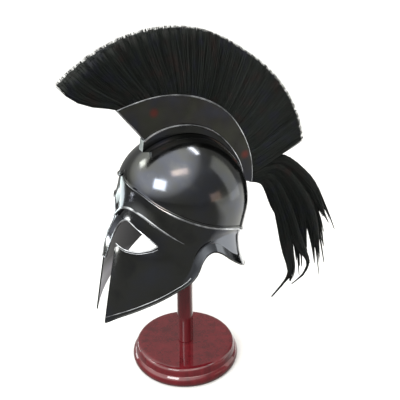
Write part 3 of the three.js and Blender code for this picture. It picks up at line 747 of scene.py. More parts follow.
def material(name, colour_value, roughness, metallic=0.0):
    made = bpy.data.materials.new(name)
    made.use_nodes = True
    nodes = made.node_tree.nodes
    shader = nodes["Principled BSDF"]
    shader.inputs["Base Color"].default_value = (*colour_value, 1)
    shader.inputs["Roughness"].default_value = roughness
    shader.inputs["Metallic"].default_value = metallic
    return made, nodes, made.node_tree.links, shader


def object_place(nodes):
    return nodes.new("ShaderNodeTexCoord").outputs["Object"]


def object_axis(nodes, links, axis):
    """One of the object coordinates"""
    parts = nodes.new("ShaderNodeSeparateXYZ")
    links.new(object_place(nodes), parts.inputs["Vector"])
    return parts.outputs[axis]


def noise(nodes, links, scale, detail=3.0, roughness=0.55, stretch=None):
    """Noise on object coordinates, stretched along some axes"""
    texture = nodes.new("ShaderNodeTexNoise")
    texture.inputs["Scale"].default_value = scale
    texture.inputs["Detail"].default_value = detail
    texture.inputs["Roughness"].default_value = roughness
    place = object_place(nodes)
    if stretch is not None:
        mapping = nodes.new("ShaderNodeMapping")
        mapping.inputs["Scale"].default_value = stretch
        links.new(place, mapping.inputs["Vector"])
        place = mapping.outputs["Vector"]
    links.new(place, texture.inputs["Vector"])
    return texture.outputs["Fac"]


def ramp(nodes, links, source, stops):
    """Colour ramp through (place, colour) stops"""
    made = nodes.new("ShaderNodeValToRGB")
    elements = made.color_ramp.elements
    while len(elements) < len(stops):
        elements.new(1.0)
    for element, (place, value) in zip(elements, stops):
        element.position = place
        element.color = (*value, 1)
    links.new(source, made.inputs["Fac"])
    return made.outputs["Color"]


def mapped(nodes, links, source, start, end, to=(0.0, 1.0), eased=False):
    """Value that runs from start to end, moved to another range"""
    made = nodes.new("ShaderNodeMapRange")
    if eased:
        made.interpolation_type = "SMOOTHSTEP"
    made.inputs["From Min"].default_value = start
    made.inputs["From Max"].default_value = end
    made.inputs["To Min"].default_value = to[0]
    made.inputs["To Max"].default_value = to[1]
    links.new(source, made.inputs["Value"])
    return made.outputs["Result"]


def spread(nodes, links, source, low, high):
    """Middle of a noise's range, spread between two values"""
    return mapped(nodes, links, source, 0.3, 0.7, (low, high))


def measured(nodes, links, source, operation, value):
    """Distance of a place from a fixed one, or its share along a fixed direction"""
    made = nodes.new("ShaderNodeVectorMath")
    made.operation = operation
    made.inputs[1].default_value = value
    links.new(source, made.inputs[0])
    return made.outputs["Value"]


def mixed(nodes, links, factor, first, second):
    """Mix from a linked colour to a fixed one"""
    made = nodes.new("ShaderNodeMix")
    made.data_type = "RGBA"
    made.inputs["B"].default_value = (*second, 1)
    links.new(factor, made.inputs["Factor"])
    links.new(first, made.inputs["A"])
    return made.outputs["Result"]


def bump(nodes, links, source, strength, distance, shader, below=None):
    made = nodes.new("ShaderNodeBump")
    made.inputs["Strength"].default_value = strength
    made.inputs["Distance"].default_value = distance
    links.new(source, made.inputs["Height"])
    if below is not None:
        links.new(below, made.inputs["Normal"])
    links.new(made.outputs["Normal"], shader.inputs["Normal"])
    return made.outputs["Normal"]


def shades(value, factors):
    return [tuple(channel * factor for channel in value) for factor in factors]


def cast(value, factors):
    """A colour with its three channels changed"""
    return tuple(channel * factor for channel, factor in zip(value, factors))


def polished_steel():
    base = tuple(finishes().steel)
    made, nodes, links, shader = material("polished_steel", base, 0.12, 1.0)
    darker, same, lighter = shades(base, (0.70, 1.0, 1.35))
    olive, blue = cast(base, (1.0, 1.0, 0.90)), cast(base, (1.0, 1.03, 1.18))
    stops = [(0.30, darker), (0.43, olive), (0.52, same), (0.62, blue), (0.74, lighter)]
    tint = ramp(nodes, links, noise(nodes, links, 14.0, 4.0), stops)
    rub = nodes.new("ShaderNodeAttribute")
    rub.attribute_name = "rub"
    tint = mixed(nodes, links, rub.outputs["Fac"], tint, finishes().rubbed_steel)
    links.new(tint, shader.inputs["Base Color"])
    gloss = spread(nodes, links, noise(nodes, links, 38.0, 5.0), 0.09, 0.20)
    links.new(gloss, shader.inputs["Roughness"])
    planished = bump(nodes, links, noise(nodes, links, 26.0, 1.0), 0.10, 0.8 * MM, shader)
    scratches = noise(nodes, links, 60.0, 2.0, stretch=(1.0, 1.0, 14.0))
    bump(nodes, links, scratches, 0.04, 0.1 * MM, shader, planished)
    return made


def worn_steel():
    base = tuple(finishes().worn_steel)
    made, nodes, links, shader = material("worn_steel", base, 0.16, 1.0)
    rub = noise(nodes, links, 55.0, 4.0)
    darker, same, lighter = shades(base, (0.5, 1.0, 1.7))
    tint = ramp(nodes, links, rub, [(0.32, darker), (0.5, same), (0.70, lighter)])
    links.new(tint, shader.inputs["Base Color"])
    links.new(spread(nodes, links, rub, 0.12, 0.24), shader.inputs["Roughness"])
    return made


def inner_steel():
    """Bare on the inside of the cheeks, with painted shade darkening it above them"""
    base = tuple(finishes().inner_steel)
    made, nodes, links, shader = material("inner_steel", base, 0.50, 0.35)
    height = mapped(nodes, links, object_axis(nodes, links, "Z"), *INSIDE_SHADE_HEIGHTS)
    # Painted shade: the inside darkens above the cheeks, deep within the helmet
    bare, inside_shade = shades(base, (1.0, INSIDE_PAINTED_SHADE))
    tint = ramp(nodes, links, height, [(0.0, bare), (1.0, inside_shade)])
    links.new(tint, shader.inputs["Base Color"])
    return made


def dull_steel():
    base = tuple(finishes().crest_steel)
    made, nodes, links, shader = material("dull_steel", base, 0.34, 0.85)
    olive, blue = cast(base, (1.05, 1.12, 0.9)), cast(base, (0.95, 1.0, 1.35))
    stops = [(0.34, blue), (0.48, base), (0.66, olive)]
    tint = ramp(nodes, links, noise(nodes, links, 22.0, 4.0), stops)
    # Painted reflections of a warm lamp, as reddish spots in the box's colour
    for reflection in PAINTED_REFLECTIONS:
        away = measured(nodes, links, object_place(nodes), "DISTANCE", reflection)
        fade = mapped(nodes, links, away, *REFLECTION_REACH, eased=True)
        tint = mixed(nodes, links, fade, tint, cast(base, REFLECTION_CAST))
    links.new(tint, shader.inputs["Base Color"])
    smear = noise(nodes, links, 45.0, 5.0)
    links.new(spread(nodes, links, smear, 0.26, 0.44), shader.inputs["Roughness"])
    bump(nodes, links, smear, 0.10, 0.3 * MM, shader)
    return made


def horsehair():
    base = tuple(finishes().hair)
    made, nodes, links, shader = material("horsehair", base, 0.55)
    strand = nodes.new("ShaderNodeNewGeometry")
    darker, same, lighter, glint = shades(base, (0.6, 1.0, 1.35, 2.0))
    stops = [(0.0, darker), (0.5, same), (0.85, lighter), (1.0, glint)]
    tint = ramp(nodes, links, strand.outputs["Random Per Island"], stops)
    blue, green, plain, brown = (1.0, 1.0, 1.55), (0.9, 1.05, 0.95), (1.0, 1.0, 1.0), (1.5, 1.0, 0.95)
    stops = [(0.32, blue), (0.46, green), (0.58, plain), (0.70, brown)]
    dye = ramp(nodes, links, noise(nodes, links, 45.0, 4.0), stops)
    dyed = nodes.new("ShaderNodeVectorMath")
    dyed.operation = "MULTIPLY"
    links.new(tint, dyed.inputs[0])
    links.new(dye, dyed.inputs[1])
    links.new(dyed.outputs["Vector"], shader.inputs["Base Color"])
    shader.inputs["Specular IOR Level"].default_value = 0.10
    return made


def lacquered_wood():
    base = tuple(finishes().wood)
    made, nodes, links, shader = material("lacquered_wood", base, 0.10)
    grain = noise(nodes, links, 70.0, 6.0, 0.6, stretch=(1.0, 1.0, 0.18))
    darker, same, lighter = shades(base, (0.65, 1.0, 1.3))
    tint = ramp(nodes, links, grain, [(0.32, darker), (0.5, same), (0.70, lighter)])
    links.new(tint, shader.inputs["Base Color"])
    shader.inputs["Specular IOR Level"].default_value = 0.15
    shader.inputs["Coat Weight"].default_value = 1.0
    shader.inputs["Coat Roughness"].default_value = 0.03
    shader.inputs["Coat IOR"].default_value = 1.45
    bump(nodes, links, noise(nodes, links, 35.0, 1.0), 0.06, 0.4 * MM, shader)
    return made


def pale_floor():
    """Pale to the camera. In the steel it carries painted shade and light: dark in front and pale
    behind, as in the photograph.
    """
    pale = tuple(finishes().floor)
    made, nodes, links, shader = material("pale_floor", pale, 0.9)
    behind = measured(nodes, links, object_place(nodes), "DOT_PRODUCT", FLOOR_BACKWARDS)
    both = nodes.new("ShaderNodeMath")
    both.operation = "MULTIPLY"
    links.new(mapped(nodes, links, behind, *FLOOR_BEHIND), both.inputs[0])
    near_side = mapped(nodes, links, object_axis(nodes, links, "X"), *FLOOR_NEAR_SIDE)
    links.new(near_side, both.inputs[1])
    dim, bright = shades(pale, FLOOR_PAINTED_SHADES)
    # Painted reflection: the floor's colour in the steel, darkened in front and brightened behind
    painted_reflection = ramp(nodes, links, both.outputs["Value"], [(0.0, dim), (1.0, bright)])
    seen = nodes.new("ShaderNodeLightPath")
    tint = mixed(nodes, links, seen.outputs["Is Camera Ray"], painted_reflection, pale)
    links.new(tint, shader.inputs["Base Color"])
    shader.inputs["Specular IOR Level"].default_value = 0.0
    return made


def lathe(name, profile, steps, made, smooth_angle=35):
    """Turned piece from a profile of (radius, level), both ends on the axis"""
    shape = bmesh.new()
    line = [shape.verts.new((radius, 0, level)) for radius, level in profile]
    edges = [shape.edges.new(pair) for pair in zip(line, line[1:])]
    bmesh.ops.spin(
        shape,
        geom=line + edges,
        cent=(0, 0, 0),
        axis=(0, 0, 1),
        angle=2 * pi,
        steps=steps,
        use_merge=True,
    )
    bmesh.ops.remove_doubles(shape, verts=shape.verts, dist=0.001 * MM)
    bmesh.ops.recalc_face_normals(shape, faces=shape.faces)
    return finish_piece(name, shape, made, smooth_angle=smooth_angle)


def rounded(points, steps):
    """Smooth profile through a few points"""
    return [tuple(point) for point in smooth_line(points, np.linspace(0, 1, steps))]


class HELMET_OT_stand(Operator):
    """Turns the stand's base, post and cap"""

    bl_idname = "helmet.stand"
    bl_label = "Stand"

    BASE_SIDES, SIDES = 128, 64
    FOOT_INWARD = 6.5 * MM
    POST_CHAMFER = 0.8 * MM

    def execute(self, context):
        wood = lacquered_wood()
        edge, top = BASE_HIGH.x, BASE_HIGH.z
        torus = [(edge - inward * MM, level * MM) for inward, level in BASE_TORUS]
        cove = [(edge - inward * MM, level * MM) for inward, level in BASE_COVE]
        crown = [(edge - inward * MM, top - below * MM) for inward, below in BASE_CROWN]
        profile = [(0, 0), (edge - self.FOOT_INWARD, 0), torus[0], *rounded(torus, 22)[1:]]
        profile += [*rounded(cove + crown[:1], 18), *crown[1:], (0, top)]
        base = lathe("turned_base", profile, self.BASE_SIDES, wood, 40)
        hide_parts("stand_base")

        radius, chamfer = POST_HIGH.x, self.POST_CHAMFER
        low, high = POST_LOW.z, POST_HIGH.z
        side = [(radius - chamfer, low), (radius, low + chamfer)]
        side += [(radius, high - chamfer), (radius - chamfer, high)]
        post = lathe("turned_post", [(0, low), *side, (0, high)], self.SIDES, wood)
        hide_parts("stand_post")

        rim = CAP_HIGH.x
        low, high = CAP_LOW.z, CAP_HIGH.z
        side = [
            (rim - 3 * MM, low),
            (rim, low + 3 * MM),
            (rim, low + 9 * MM),
            (0.85 * rim, low + 14.2 * MM),
            (0.5 * rim, high - 1.6 * MM),
            (0, high),
        ]
        cap = lathe("turned_cap", [(0, low), *rounded(side, 26)], self.SIDES, wood)
        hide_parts("stand_cap")
        return {"FINISHED"}


class HELMET_OT_skull(Operator):
    """Raises the skull bowl and rolls its lower edge"""

    bl_idname = "helmet.skull"
    bl_label = "Skull bowl"

    # Columns round the head, rows up it, how many of those share the rim's height, and that height
    COLUMNS, ROWS, RIM_ROWS = 224, 84, 12
    RIM_HEIGHT = 9 * MM
    ROLL_HEIGHT = 6 * MM

    # The bright rod is thin over the brow and swells towards the temples, in degrees and rim radii
    SWELL_FROM, SWELL_OVER = 38, 24
    THIN, SWELL = 0.32, 0.63

    def execute(self, context):
        s = sizes()
        sheet = new_grid(self.COLUMNS, self.ROWS)
        u, v = places(sheet)
        angle = u * 2 * pi
        rim_rows = self.RIM_ROWS / self.ROWS
        low = ridge_level(angle)
        dense = np.clip(v / rim_rows, 0, 1) * self.RIM_HEIGHT
        rest = np.clip((v - rim_rows) / (1 - rim_rows), 0, 1)
        top = s.rise - low - self.RIM_HEIGHT
        rise = np.where(v < rim_rows, dense, self.RIM_HEIGHT + top * np.sin(rest * pi / 2))
        roll = s.roll * (1 - np.clip(rise / self.ROLL_HEIGHT, 0, 1)) ** 2
        put(sheet, shell(angle, low + rise, s.gap + s.sheet + roll))
        wrap_sheet(sheet)
        piece = finish_piece("steel_skull", sheet, once(polished_steel), helmet_matrix())
        thicken(piece)
        turn = np.linspace(0, 2 * pi, 361)
        behind = smooth((side_turn(turn) - self.SWELL_FROM) / self.SWELL_OVER)
        bright = (self.THIN + self.SWELL * behind) * s.rim
        out = s.gap + s.sheet + s.roll
        line = shell(turn, ridge_level(turn) + bright, out - 0.35 * s.rim)
        band = shell(turn, ridge_level(turn) + 2 * bright + 0.7 * s.rim, out - 0.55 * s.rim)
        rim = strands("bowl_rim", [line], [bright], 2)
        settle(piece, rim, strands("bowl_band", [band], [np.full(len(turn), s.rim)], 2))
        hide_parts("skull_bowl")
        return {"FINISHED"}


class HELMET_OT_mask(Operator):
    """Beats out the mask, cuts its eyes, mouth and lower edge and beads them"""

    bl_idname = "helmet.mask"
    bl_label = "Face mask"

    # Rows below, across and above the brow line, half of the height that the middle ones share, and how
    # far the sheet reaches below the lower edge before it is cut
    COLUMNS = 384
    ROWS = (84, 12, 26)
    BROW_BAND = 4.2 * MM
    SPARE = 18 * MM

    # Turns in degrees where the edge's rods begin, and where the embossed line and the brow's ridge end
    TIP_TURN, HEM_END, BROW_END = 8, 84, 74

    def execute(self, context):
        face, edge = face_outline(), edge_outline()
        sheet = new_grid(self.COLUMNS, sum(self.ROWS))
        u, v = places(sheet)
        angle = u * 2 * pi
        level = self.row_levels(angle, v)
        opening, below = mask_margins(angle, level, face, edge)
        margin = np.minimum(opening, below)
        on_line = self.crossing_verts(sheet, margin)
        angle, level = self.move_onto_line(angle, level, on_line, face, edge)
        opening, below = mask_margins(angle, level, face, edge)
        put(sheet, finished(angle, level, below, 0.0))
        rub = sheet.verts.layers.float.new("rub")
        for vert, value in zip(sheet.verts, rubbed(angle, below)):
            vert[rub] = value
        self.cut(sheet, margin, on_line)
        wrap_sheet(sheet)
        piece = finish_piece("steel_mask", sheet, once(polished_steel), helmet_matrix())
        thicken(piece)
        settle(piece, *self.beads(face, edge))
        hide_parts("face_mask")
        return {"FINISHED"}

    def row_levels(self, angle, v):
        """Levels of the grid's rows, one of which follows the brow line"""
        s = sizes()
        plain = plain_shell(angle, s.ridge_back + 0 * angle)
        lowest = -s.cheek_length * read(LOWER_EDGE, "along", "down", (plain[:, 1] + s.ahead) / s.back)
        floor = lowest - self.SPARE
        top = ridge_level(angle) + s.lap
        turn = side_turn(angle)
        brow = -s.eye_drop * read(BROW, "turn", "drop", turn)
        line = brow + (floor + 0.72 * (top - floor) - brow) * smooth((turn - 66) / 30)
        low, middle, high = np.cumsum(self.ROWS) / sum(self.ROWS)
        band = self.BROW_BAND
        under = floor + (line - band - floor) * v / low
        across = line + band * (2 * (v - low) / (middle - low) - 1)
        over = line + band + (top - line - band) * (v - middle) / (high - middle)
        return np.where(v < low, under, np.where(v < middle, across, over))

    def beads(self, face, edge):
        """Bright rims, brow ridge and embossed line, and the plain rims of the mouth and lower edge"""
        s = sizes()
        routes, radii, plain = [], [], []

        def add(route, radius):
            for side in (route, mirrored(route)):
                routes.append(side)
                radii.append(np.broadcast_to(radius, len(side)))

        def edge_line(last, count, distance, out):
            """Line at a distance inside the lower edge, from the cheek's tip to a turn"""
            angle = np.radians(np.linspace(self.TIP_TURN, last, count))
            level = level_beside(angle, distance, edge)
            opening, below = mask_margins(angle, level, face, edge)
            keep = opening > s.bead
            return even_route(finished(angle[keep], level[keep], below[keep], out), 2 * MM)

        near = half_face()
        outline = even_route(np.array([(0, -s.nasal_end)] + near), 1.2 * MM)
        ahead = unit(np.gradient(outline, axis=0))
        inward = np.column_stack([-ahead[:, 1], ahead[:, 0]])
        corner = int(np.argmax(outline[:, 0]))
        under = slice(corner + 3, len(outline))
        for part, distance, radius in ((slice(None), 0.8, 1.0), (under, 2.9, 0.5)):
            angle, level = seen_from_front(outline[part] + inward[part] * distance * s.bead)
            opening, below = mask_margins(angle, level, face, edge)
            keep = below > s.bead
            slot = level < -s.eye_drop - 4 * MM
            slot &= angle > np.arcsin(0.8 * s.mouth_half_width / (s.width / 2))
            if part is not under:
                mouth = keep & slot
                plain.append(finished(angle[mouth], level[mouth], below[mouth], -0.3 * s.bead))
            keep &= ~slot
            add(finished(angle[keep], level[keep], below[keep], 0.0), radius * s.bead)
        plain.append(edge_line(180, 700, 0.2 * s.bead, -0.3 * s.bead))
        add(edge_line(self.HEM_END, 400, s.hem, -0.1 * s.bead), 0.62 * s.bead)
        turn = np.linspace(0, self.BROW_END, 200)
        level = -s.eye_drop * read(BROW, "turn", "drop", turn)
        swell = np.sqrt(np.clip((self.BROW_END - turn) / 30, 0, 1))
        ridge = finished(np.radians(turn), level + 0.2 * MM, np.ones_like(turn), 0.0)
        add(ridge, s.brow_bead * swell)
        plain += [mirrored(side) for side in plain]
        plain_radii = [np.full(len(side), s.bead) for side in plain]
        return strands("mask_beads", routes, radii, 2), strands("mask_edge", plain, plain_radii, 2)

    @staticmethod
    def crossing_verts(sheet, margin):
        """Of each edge that crosses an outline, the end that is nearer to it"""
        marked = np.zeros(len(margin), bool)
        ends = np.array([[vert.index for vert in line.verts] for line in sheet.edges])
        a, b = ends[:, 0], ends[:, 1]
        crossing = margin[a] * margin[b] < 0
        nearer = np.where(np.abs(margin[a]) < np.abs(margin[b]), a, b)
        marked[nearer[crossing]] = True
        return marked

    @staticmethod
    def move_onto_line(angle, level, marked, face, edge):
        """Moves the marked points onto the outline that is nearest to them"""
        angle, level = angle.copy(), level.copy()
        per_turn = 0.1
        step = 0.05 * MM

        def margin(a, z):
            return np.minimum(*mask_margins(a, z, face, edge))

        a, z = angle[marked], level[marked]
        for _ in range(4):
            here = margin(a, z)
            by_turn = (margin(a + step / per_turn, z) - here) / step
            by_level = (margin(a, z + step) - here) / step
            square = np.maximum(by_turn**2 + by_level**2, 0.05)
            move = np.clip(here / square, -2 * MM, 2 * MM)
            a = a - move * by_turn / per_turn
            z = z - move * by_level
        angle[marked], level[marked] = a, z
        return angle, level

    @staticmethod
    def cut(sheet, margin, on_line):
        """Takes away the faces inside the openings, after splitting those that span an outline"""
        sign = np.where(on_line, 0, np.sign(margin))
        sheet.verts.ensure_lookup_table()
        value = {vert: sign[vert.index] for vert in sheet.verts}
        for face in list(sheet.faces):
            signs = [value[vert] for vert in face.verts]
            if min(signs) < 0 < max(signs):
                middle = [vert for vert in face.verts if value[vert] == 0]
                if len(middle) == 2:
                    bmesh.utils.face_split(face, middle[0], middle[1])
        gone = []
        for face in sheet.faces:
            signs = [value[vert] for vert in face.verts]
            if min(signs) < 0 or not any(signs):
                gone.append(face)
        bmesh.ops.delete(sheet, geom=gone, context="FACES")


def bowl_radius(turn):
    """Distance from the skull's centre to the bowl's outer side in the fore-and-aft plane"""
    s = sizes()
    turn = np.asarray(turn, float)
    angle = np.where(turn < 0, 0.0, pi)
    low, high = np.zeros_like(turn), np.full_like(turn, s.rise)
    for _ in range(40):
        level = (low + high) / 2
        point = plain_shell(angle, level)
        steep = np.arctan2(np.abs(point[..., 1] + s.ahead), level)
        inside = steep > np.abs(np.radians(turn))
        low, high = np.where(inside, level, low), np.where(inside, high, level)
    point = plain_shell(angle, low)
    return np.hypot(point[..., 1] + s.ahead, low) + s.sheet + s.gap


def plinth_radius(turn):
    return bowl_radius(turn) + crest_sizes().plinth_height * read(CREST, "turn", "plinth", turn)


def rim_radius(turn):
    return bowl_radius(turn) + crest_sizes().height * read(CREST, "turn", "rim", turn)


def hair_radius(turn):
    return rim_radius(turn) + crest_sizes().hair_length * read(CREST, "turn", "hair", turn)


def crest_point(turn, radius):
    """Points y, z in the fore-and-aft plane"""
    turn = np.radians(turn)
    return np.stack([radius * np.sin(turn) - sizes().ahead, radius * np.cos(turn)], axis=-1)


def slimmer(turn):
    """How the crest's rolled edges slim towards the rear"""
    return 1 - 0.45 * smooth((turn - 8) / 45)


def swept_band(near, far, section, columns, name, made, smooth_angle=30):
    """Closed body along the crest. near and far give y, z at a share of the way; section is a loop of
    (x, share from near to far, distance further out)."""
    loop = np.array(section)
    sheet = new_grid(columns, len(section))
    u, v = places(sheet)
    index = np.rint(v * len(section)).astype(int) % len(section)
    x, rise, more = loop[index].T
    low, high = near(u), far(u)
    outward = unit(high - low)
    flat = low + (high - low) * rise[:, None] + outward * more[:, None]
    put(sheet, np.column_stack([x, flat]))
    close_body(sheet)
    return finish_piece(name, sheet, made, helmet_matrix(), smooth_angle)


def both_sides(side):
    """A band's section from its near half"""
    return side + [(-x, rise, more) for x, rise, more in reversed(side)]


def crest_line(first, last, radius, lift=0.0):
    """Function that gives the points y, z at shares of the way between two turns"""

    def place(u):
        turn = first + (last - first) * u
        return crest_point(turn, radius(turn) + lift)

    return place


class HELMET_OT_plinth(Operator):
    """Makes the rail along the skull that the crest stands on"""

    bl_idname = "helmet.plinth"
    bl_label = "Crest plinth"

    def execute(self, context):
        s, c = sizes(), crest_sizes()
        half = c.plinth_width / 2
        near = crest_line(CREST_FRONT["root"], CREST_REAR["foot"], bowl_radius, s.gap)
        far = crest_line(CREST_FRONT["plinth"], CREST_REAR["foot"], plinth_radius)
        fall = half**2 / s.width
        foot_cut, top_cut = 0.4 * MM, 0.5 * MM
        side = [
            (half - foot_cut, 0, -fall),
            (half, 0, foot_cut - fall),
            (half, 1, -top_cut),
            (half - top_cut, 1, 0),
        ]
        plinth = swept_band(near, far, both_sides(side), 120, "steel_plinth", once(polished_steel))
        turn = np.linspace(CREST_FRONT["plinth"], CREST_REAR["foot"], 160)
        flat = crest_point(turn, plinth_radius(turn) - 0.8 * c.bead)
        route = np.column_stack([np.full(len(turn), half), flat])
        radii = [c.bead * slimmer(turn)] * 2
        self.dull_front(plinth)
        settle(plinth, strands("rail_beads", [route, mirrored(route)], radii, 2))
        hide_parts("crest_plinth")
        return {"FINISHED"}

    @staticmethod
    def dull_front(plinth):
        """Gives the rail's ends the crest's duller, darker steel, which paints shade over the highlight
        that the lamps would give them
        """
        for make in (worn_steel, dull_steel):
            plinth.data.materials.append(once(make))
        for face in plinth.data.polygons:
            if len(face.vertices) > 4:
                face.material_index = 2


class HELMET_OT_crest_box(Operator):
    """Folds the crest box and rolls its rim"""

    bl_idname = "helmet.crest_box"
    bl_label = "Crest box"

    def execute(self, context):
        s, c = sizes(), crest_sizes()
        half, sheet, bead = c.width / 2, c.sheet, c.bead
        near = crest_line(CREST_FRONT["foot"], CREST_REAR["foot"], plinth_radius, s.gap)
        far = crest_line(CREST_FRONT["rim"], CREST_REAR["rim"], rim_radius)
        inner = half - sheet
        cut = 0.3 * MM
        outside = [(half - cut, 0, 0), (half, 0, cut), (half, 1, -cut)]
        side = outside + [(inner, 1, -cut), (inner, 0, sheet)]
        box = swept_band(near, far, both_sides(side), 140, "steel_crest_box", once(dull_steel), 35)
        turn = np.linspace(CREST_FRONT["rim"], CREST_REAR["rim"], 200)
        middle = np.full(len(turn), half - sheet / 2)
        rim = np.column_stack([middle, crest_point(turn, rim_radius(turn) - bead)])
        steps = 24
        share_up = np.linspace(0, 1, steps)[:, None]
        foot, head = near(np.zeros(1)), far(np.zeros(1))
        front = np.column_stack([np.full(steps, half - 0.4 * MM), foot + (head - foot) * share_up])
        routes = [rim, mirrored(rim), front, mirrored(front)]
        radii = [bead * slimmer(turn)] * 2 + [np.full(steps, 0.5 * bead)] * 2
        settle(box, strands("box_beads", routes, radii, 2))
        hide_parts("crest_box")
        return {"FINISHED"}


def strands(name, routes, radii, resolution=0):
    """One curve through each row of points, as thin as its radii say, made a mesh"""
    curve = bpy.data.curves.new(name, "CURVE")
    curve.dimensions = "3D"
    curve.bevel_depth = 1.0
    curve.bevel_resolution = resolution
    curve.use_fill_caps = False
    for route, radius in zip(routes, radii):
        spline = curve.splines.new("POLY")
        spline.points.add(len(route) - 1)
        flat = np.column_stack([route, np.ones(len(route))]).ravel()
        spline.points.foreach_set("co", flat)
        spline.points.foreach_set("radius", np.array(radius))
    holder = bpy.data.objects.new(name, curve)
    bpy.context.collection.objects.link(holder)
    mesh = evaluated(holder)
    bpy.data.objects.remove(holder)
    bpy.data.curves.remove(curve)
    return mesh


def hair_piece(name, core, mesh, node):
    """Hair round its solid heart, in the place of a node"""
    take_in(core, mesh)
    piece = finish_piece(name, core, once(horsehair), helmet_matrix())
    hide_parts(node)


def bend(share):
    """How much of the lean the hair has at a share of its length"""
    return 1 - (1 - np.clip(share, 0, 1)) ** 2


def brush_spots(turn, side, along):
    """Points of the brush: a turn at its foot, a place from side to side and a share of its length"""
    c = crest_sizes()
    lean = read(CREST, "turn", "lean", turn)
    first = smooth(1 - (turn - CREST_FRONT["rim"]) / FRONT_FAN["turns"])
    belly = FRONT_FAN["belly"] * np.sin(pi * np.clip(along, 0, 1)) + FRONT_FAN["tip"] * along
    bent = turn + lean * bend(along) - first * belly
    radius = rim_radius(turn) + along * (hair_radius(turn) - rim_radius(turn))
    wide = c.brush_thickness * read(BRUSH_SWELL, "share", "wide", along)
    flat = crest_point(bent, radius)
    return np.column_stack([side * wide, flat])


class HELMET_OT_brush(Operator):
    """Sets the upright hair in the crest box"""

    bl_idname = "helmet.brush"
    bl_label = "Brush"

    SEED = 11

    # Share of the hairs that stand inside the brush, how many degrees one lock takes, and the points
    # along a hair with its thickness there
    INSIDE = 0.15
    LOCK_TURNS = 1.7
    SHARES = np.array([-0.03, 0.12, 0.34, 0.58, 0.80, 1.0])
    TAPER = np.array([0.8, 1.0, 1.1, 1.05, 0.8, 0.25])

    def execute(self, context):
        c = crest_sizes()
        chance = np.random.default_rng(self.SEED)
        first, last = CREST_FRONT["rim"] + 0.5, BRUSH_REAR["rim"] - 0.6
        core = self.core(first + 0.4, last - 0.4)
        count = c.brush_hairs
        turn = chance.uniform(first, last, count)
        side = np.sign(chance.uniform(-1, 1, count)) * (1 - 0.45 * chance.uniform(0, 1, count) ** 2)
        inside = chance.uniform(0, 1, count) < self.INSIDE
        side = np.where(inside, chance.uniform(-1, 1, count), side)
        lock = np.round(turn / self.LOCK_TURNS + 0.4 * np.sin(turn * 2.3))
        tips = 0.998 + 0.004 * np.sin(lock * 2.7) + 0.007 * chance.standard_normal(count)
        stray = np.clip(0.9 * chance.standard_normal(count), -0.6 * (turn - first), 2.0)
        shares = self.SHARES
        wave = 0.35 * np.sin(turn[:, None] * 1.9 + 4.0 * shares + 3 * stray[:, None])
        grid_turn = turn[:, None] + stray[:, None] * shares + wave * shares
        grid_side = side[:, None] * np.ones(len(shares))
        along = tips[:, None] * shares
        spots = brush_spots(grid_turn.ravel(), grid_side.ravel(), along.ravel())
        routes = spots.reshape(count, len(shares), 3)
        thick = c.hair_radius * chance.uniform(0.7, 1.3, count)
        mesh = strands("brush_strands", routes, thick[:, None] * self.TAPER)
        hair_piece("hair_brush", core, mesh, "crest_brush")
        return {"FINISHED"}

    @staticmethod
    def core(first, last):
        """Solid heart of the brush, with faint locks"""
        around = [0.0, 0.10, 0.22, 0.40, 0.60, 0.80, 0.95]
        loop = [(1, rise) for rise in around] + [(0.5, 0.97), (-0.5, 0.97)]
        loop += [(-1, rise) for rise in reversed(around)]
        loop = np.array(loop)
        sheet = new_grid(300, len(loop))
        u, v = places(sheet)
        index = np.rint(v * len(loop)).astype(int) % len(loop)
        side, along = loop[index].T
        turn = first + (last - first) * u
        ripple = 0.90 + 0.035 * np.sin(turn * 2.0) + 0.025 * np.sin(turn * 5.3 + 1)
        put(sheet, brush_spots(turn, side * ripple, along * (1.005 + 0.006 * np.sin(turn * 2.0))))
        close_body(sheet)
        return sheet


def catmull(points, shares):
    """Places and directions at shares of the way along a centripetal curve through points"""
    points = np.array(points, float)
    line = np.vstack([2 * points[0] - points[1], points, 2 * points[-1] - points[-2]])
    fine = []
    for p0, p1, p2, p3 in zip(line, line[1:], line[2:], line[3:]):
        d0, d1, d2 = (np.linalg.norm(b - a) ** 0.5 for a, b in ((p0, p1), (p1, p2), (p2, p3)))
        m1 = ((p1 - p0) / d0 - (p2 - p0) / (d0 + d1) + (p2 - p1) / d1) * d1
        m2 = ((p2 - p1) / d1 - (p3 - p1) / (d1 + d2) + (p3 - p2) / d2) * d1
        t = np.linspace(0, 1, 40, endpoint=False)[:, None]
        fine.append(
            (2 * t**3 - 3 * t**2 + 1) * p1
            + (t**3 - 2 * t**2 + t) * m1
            + (3 * t**2 - 2 * t**3) * p2
            + (t**3 - t**2) * m2
        )
    fine.append(points[-1:])
    fine = np.vstack(fine)
    way = way_along(fine)
    at = np.asarray(shares) * way[-1]
    spots = np.stack([np.interp(at, way, fine[:, axis]) for axis in range(3)], axis=-1)
    ahead = np.stack([np.interp(at + MM, way, fine[:, axis]) for axis in range(3)], axis=-1)
    behind = np.stack([np.interp(at - MM, way, fine[:, axis]) for axis in range(3)], axis=-1)
    return spots, unit(ahead - behind)


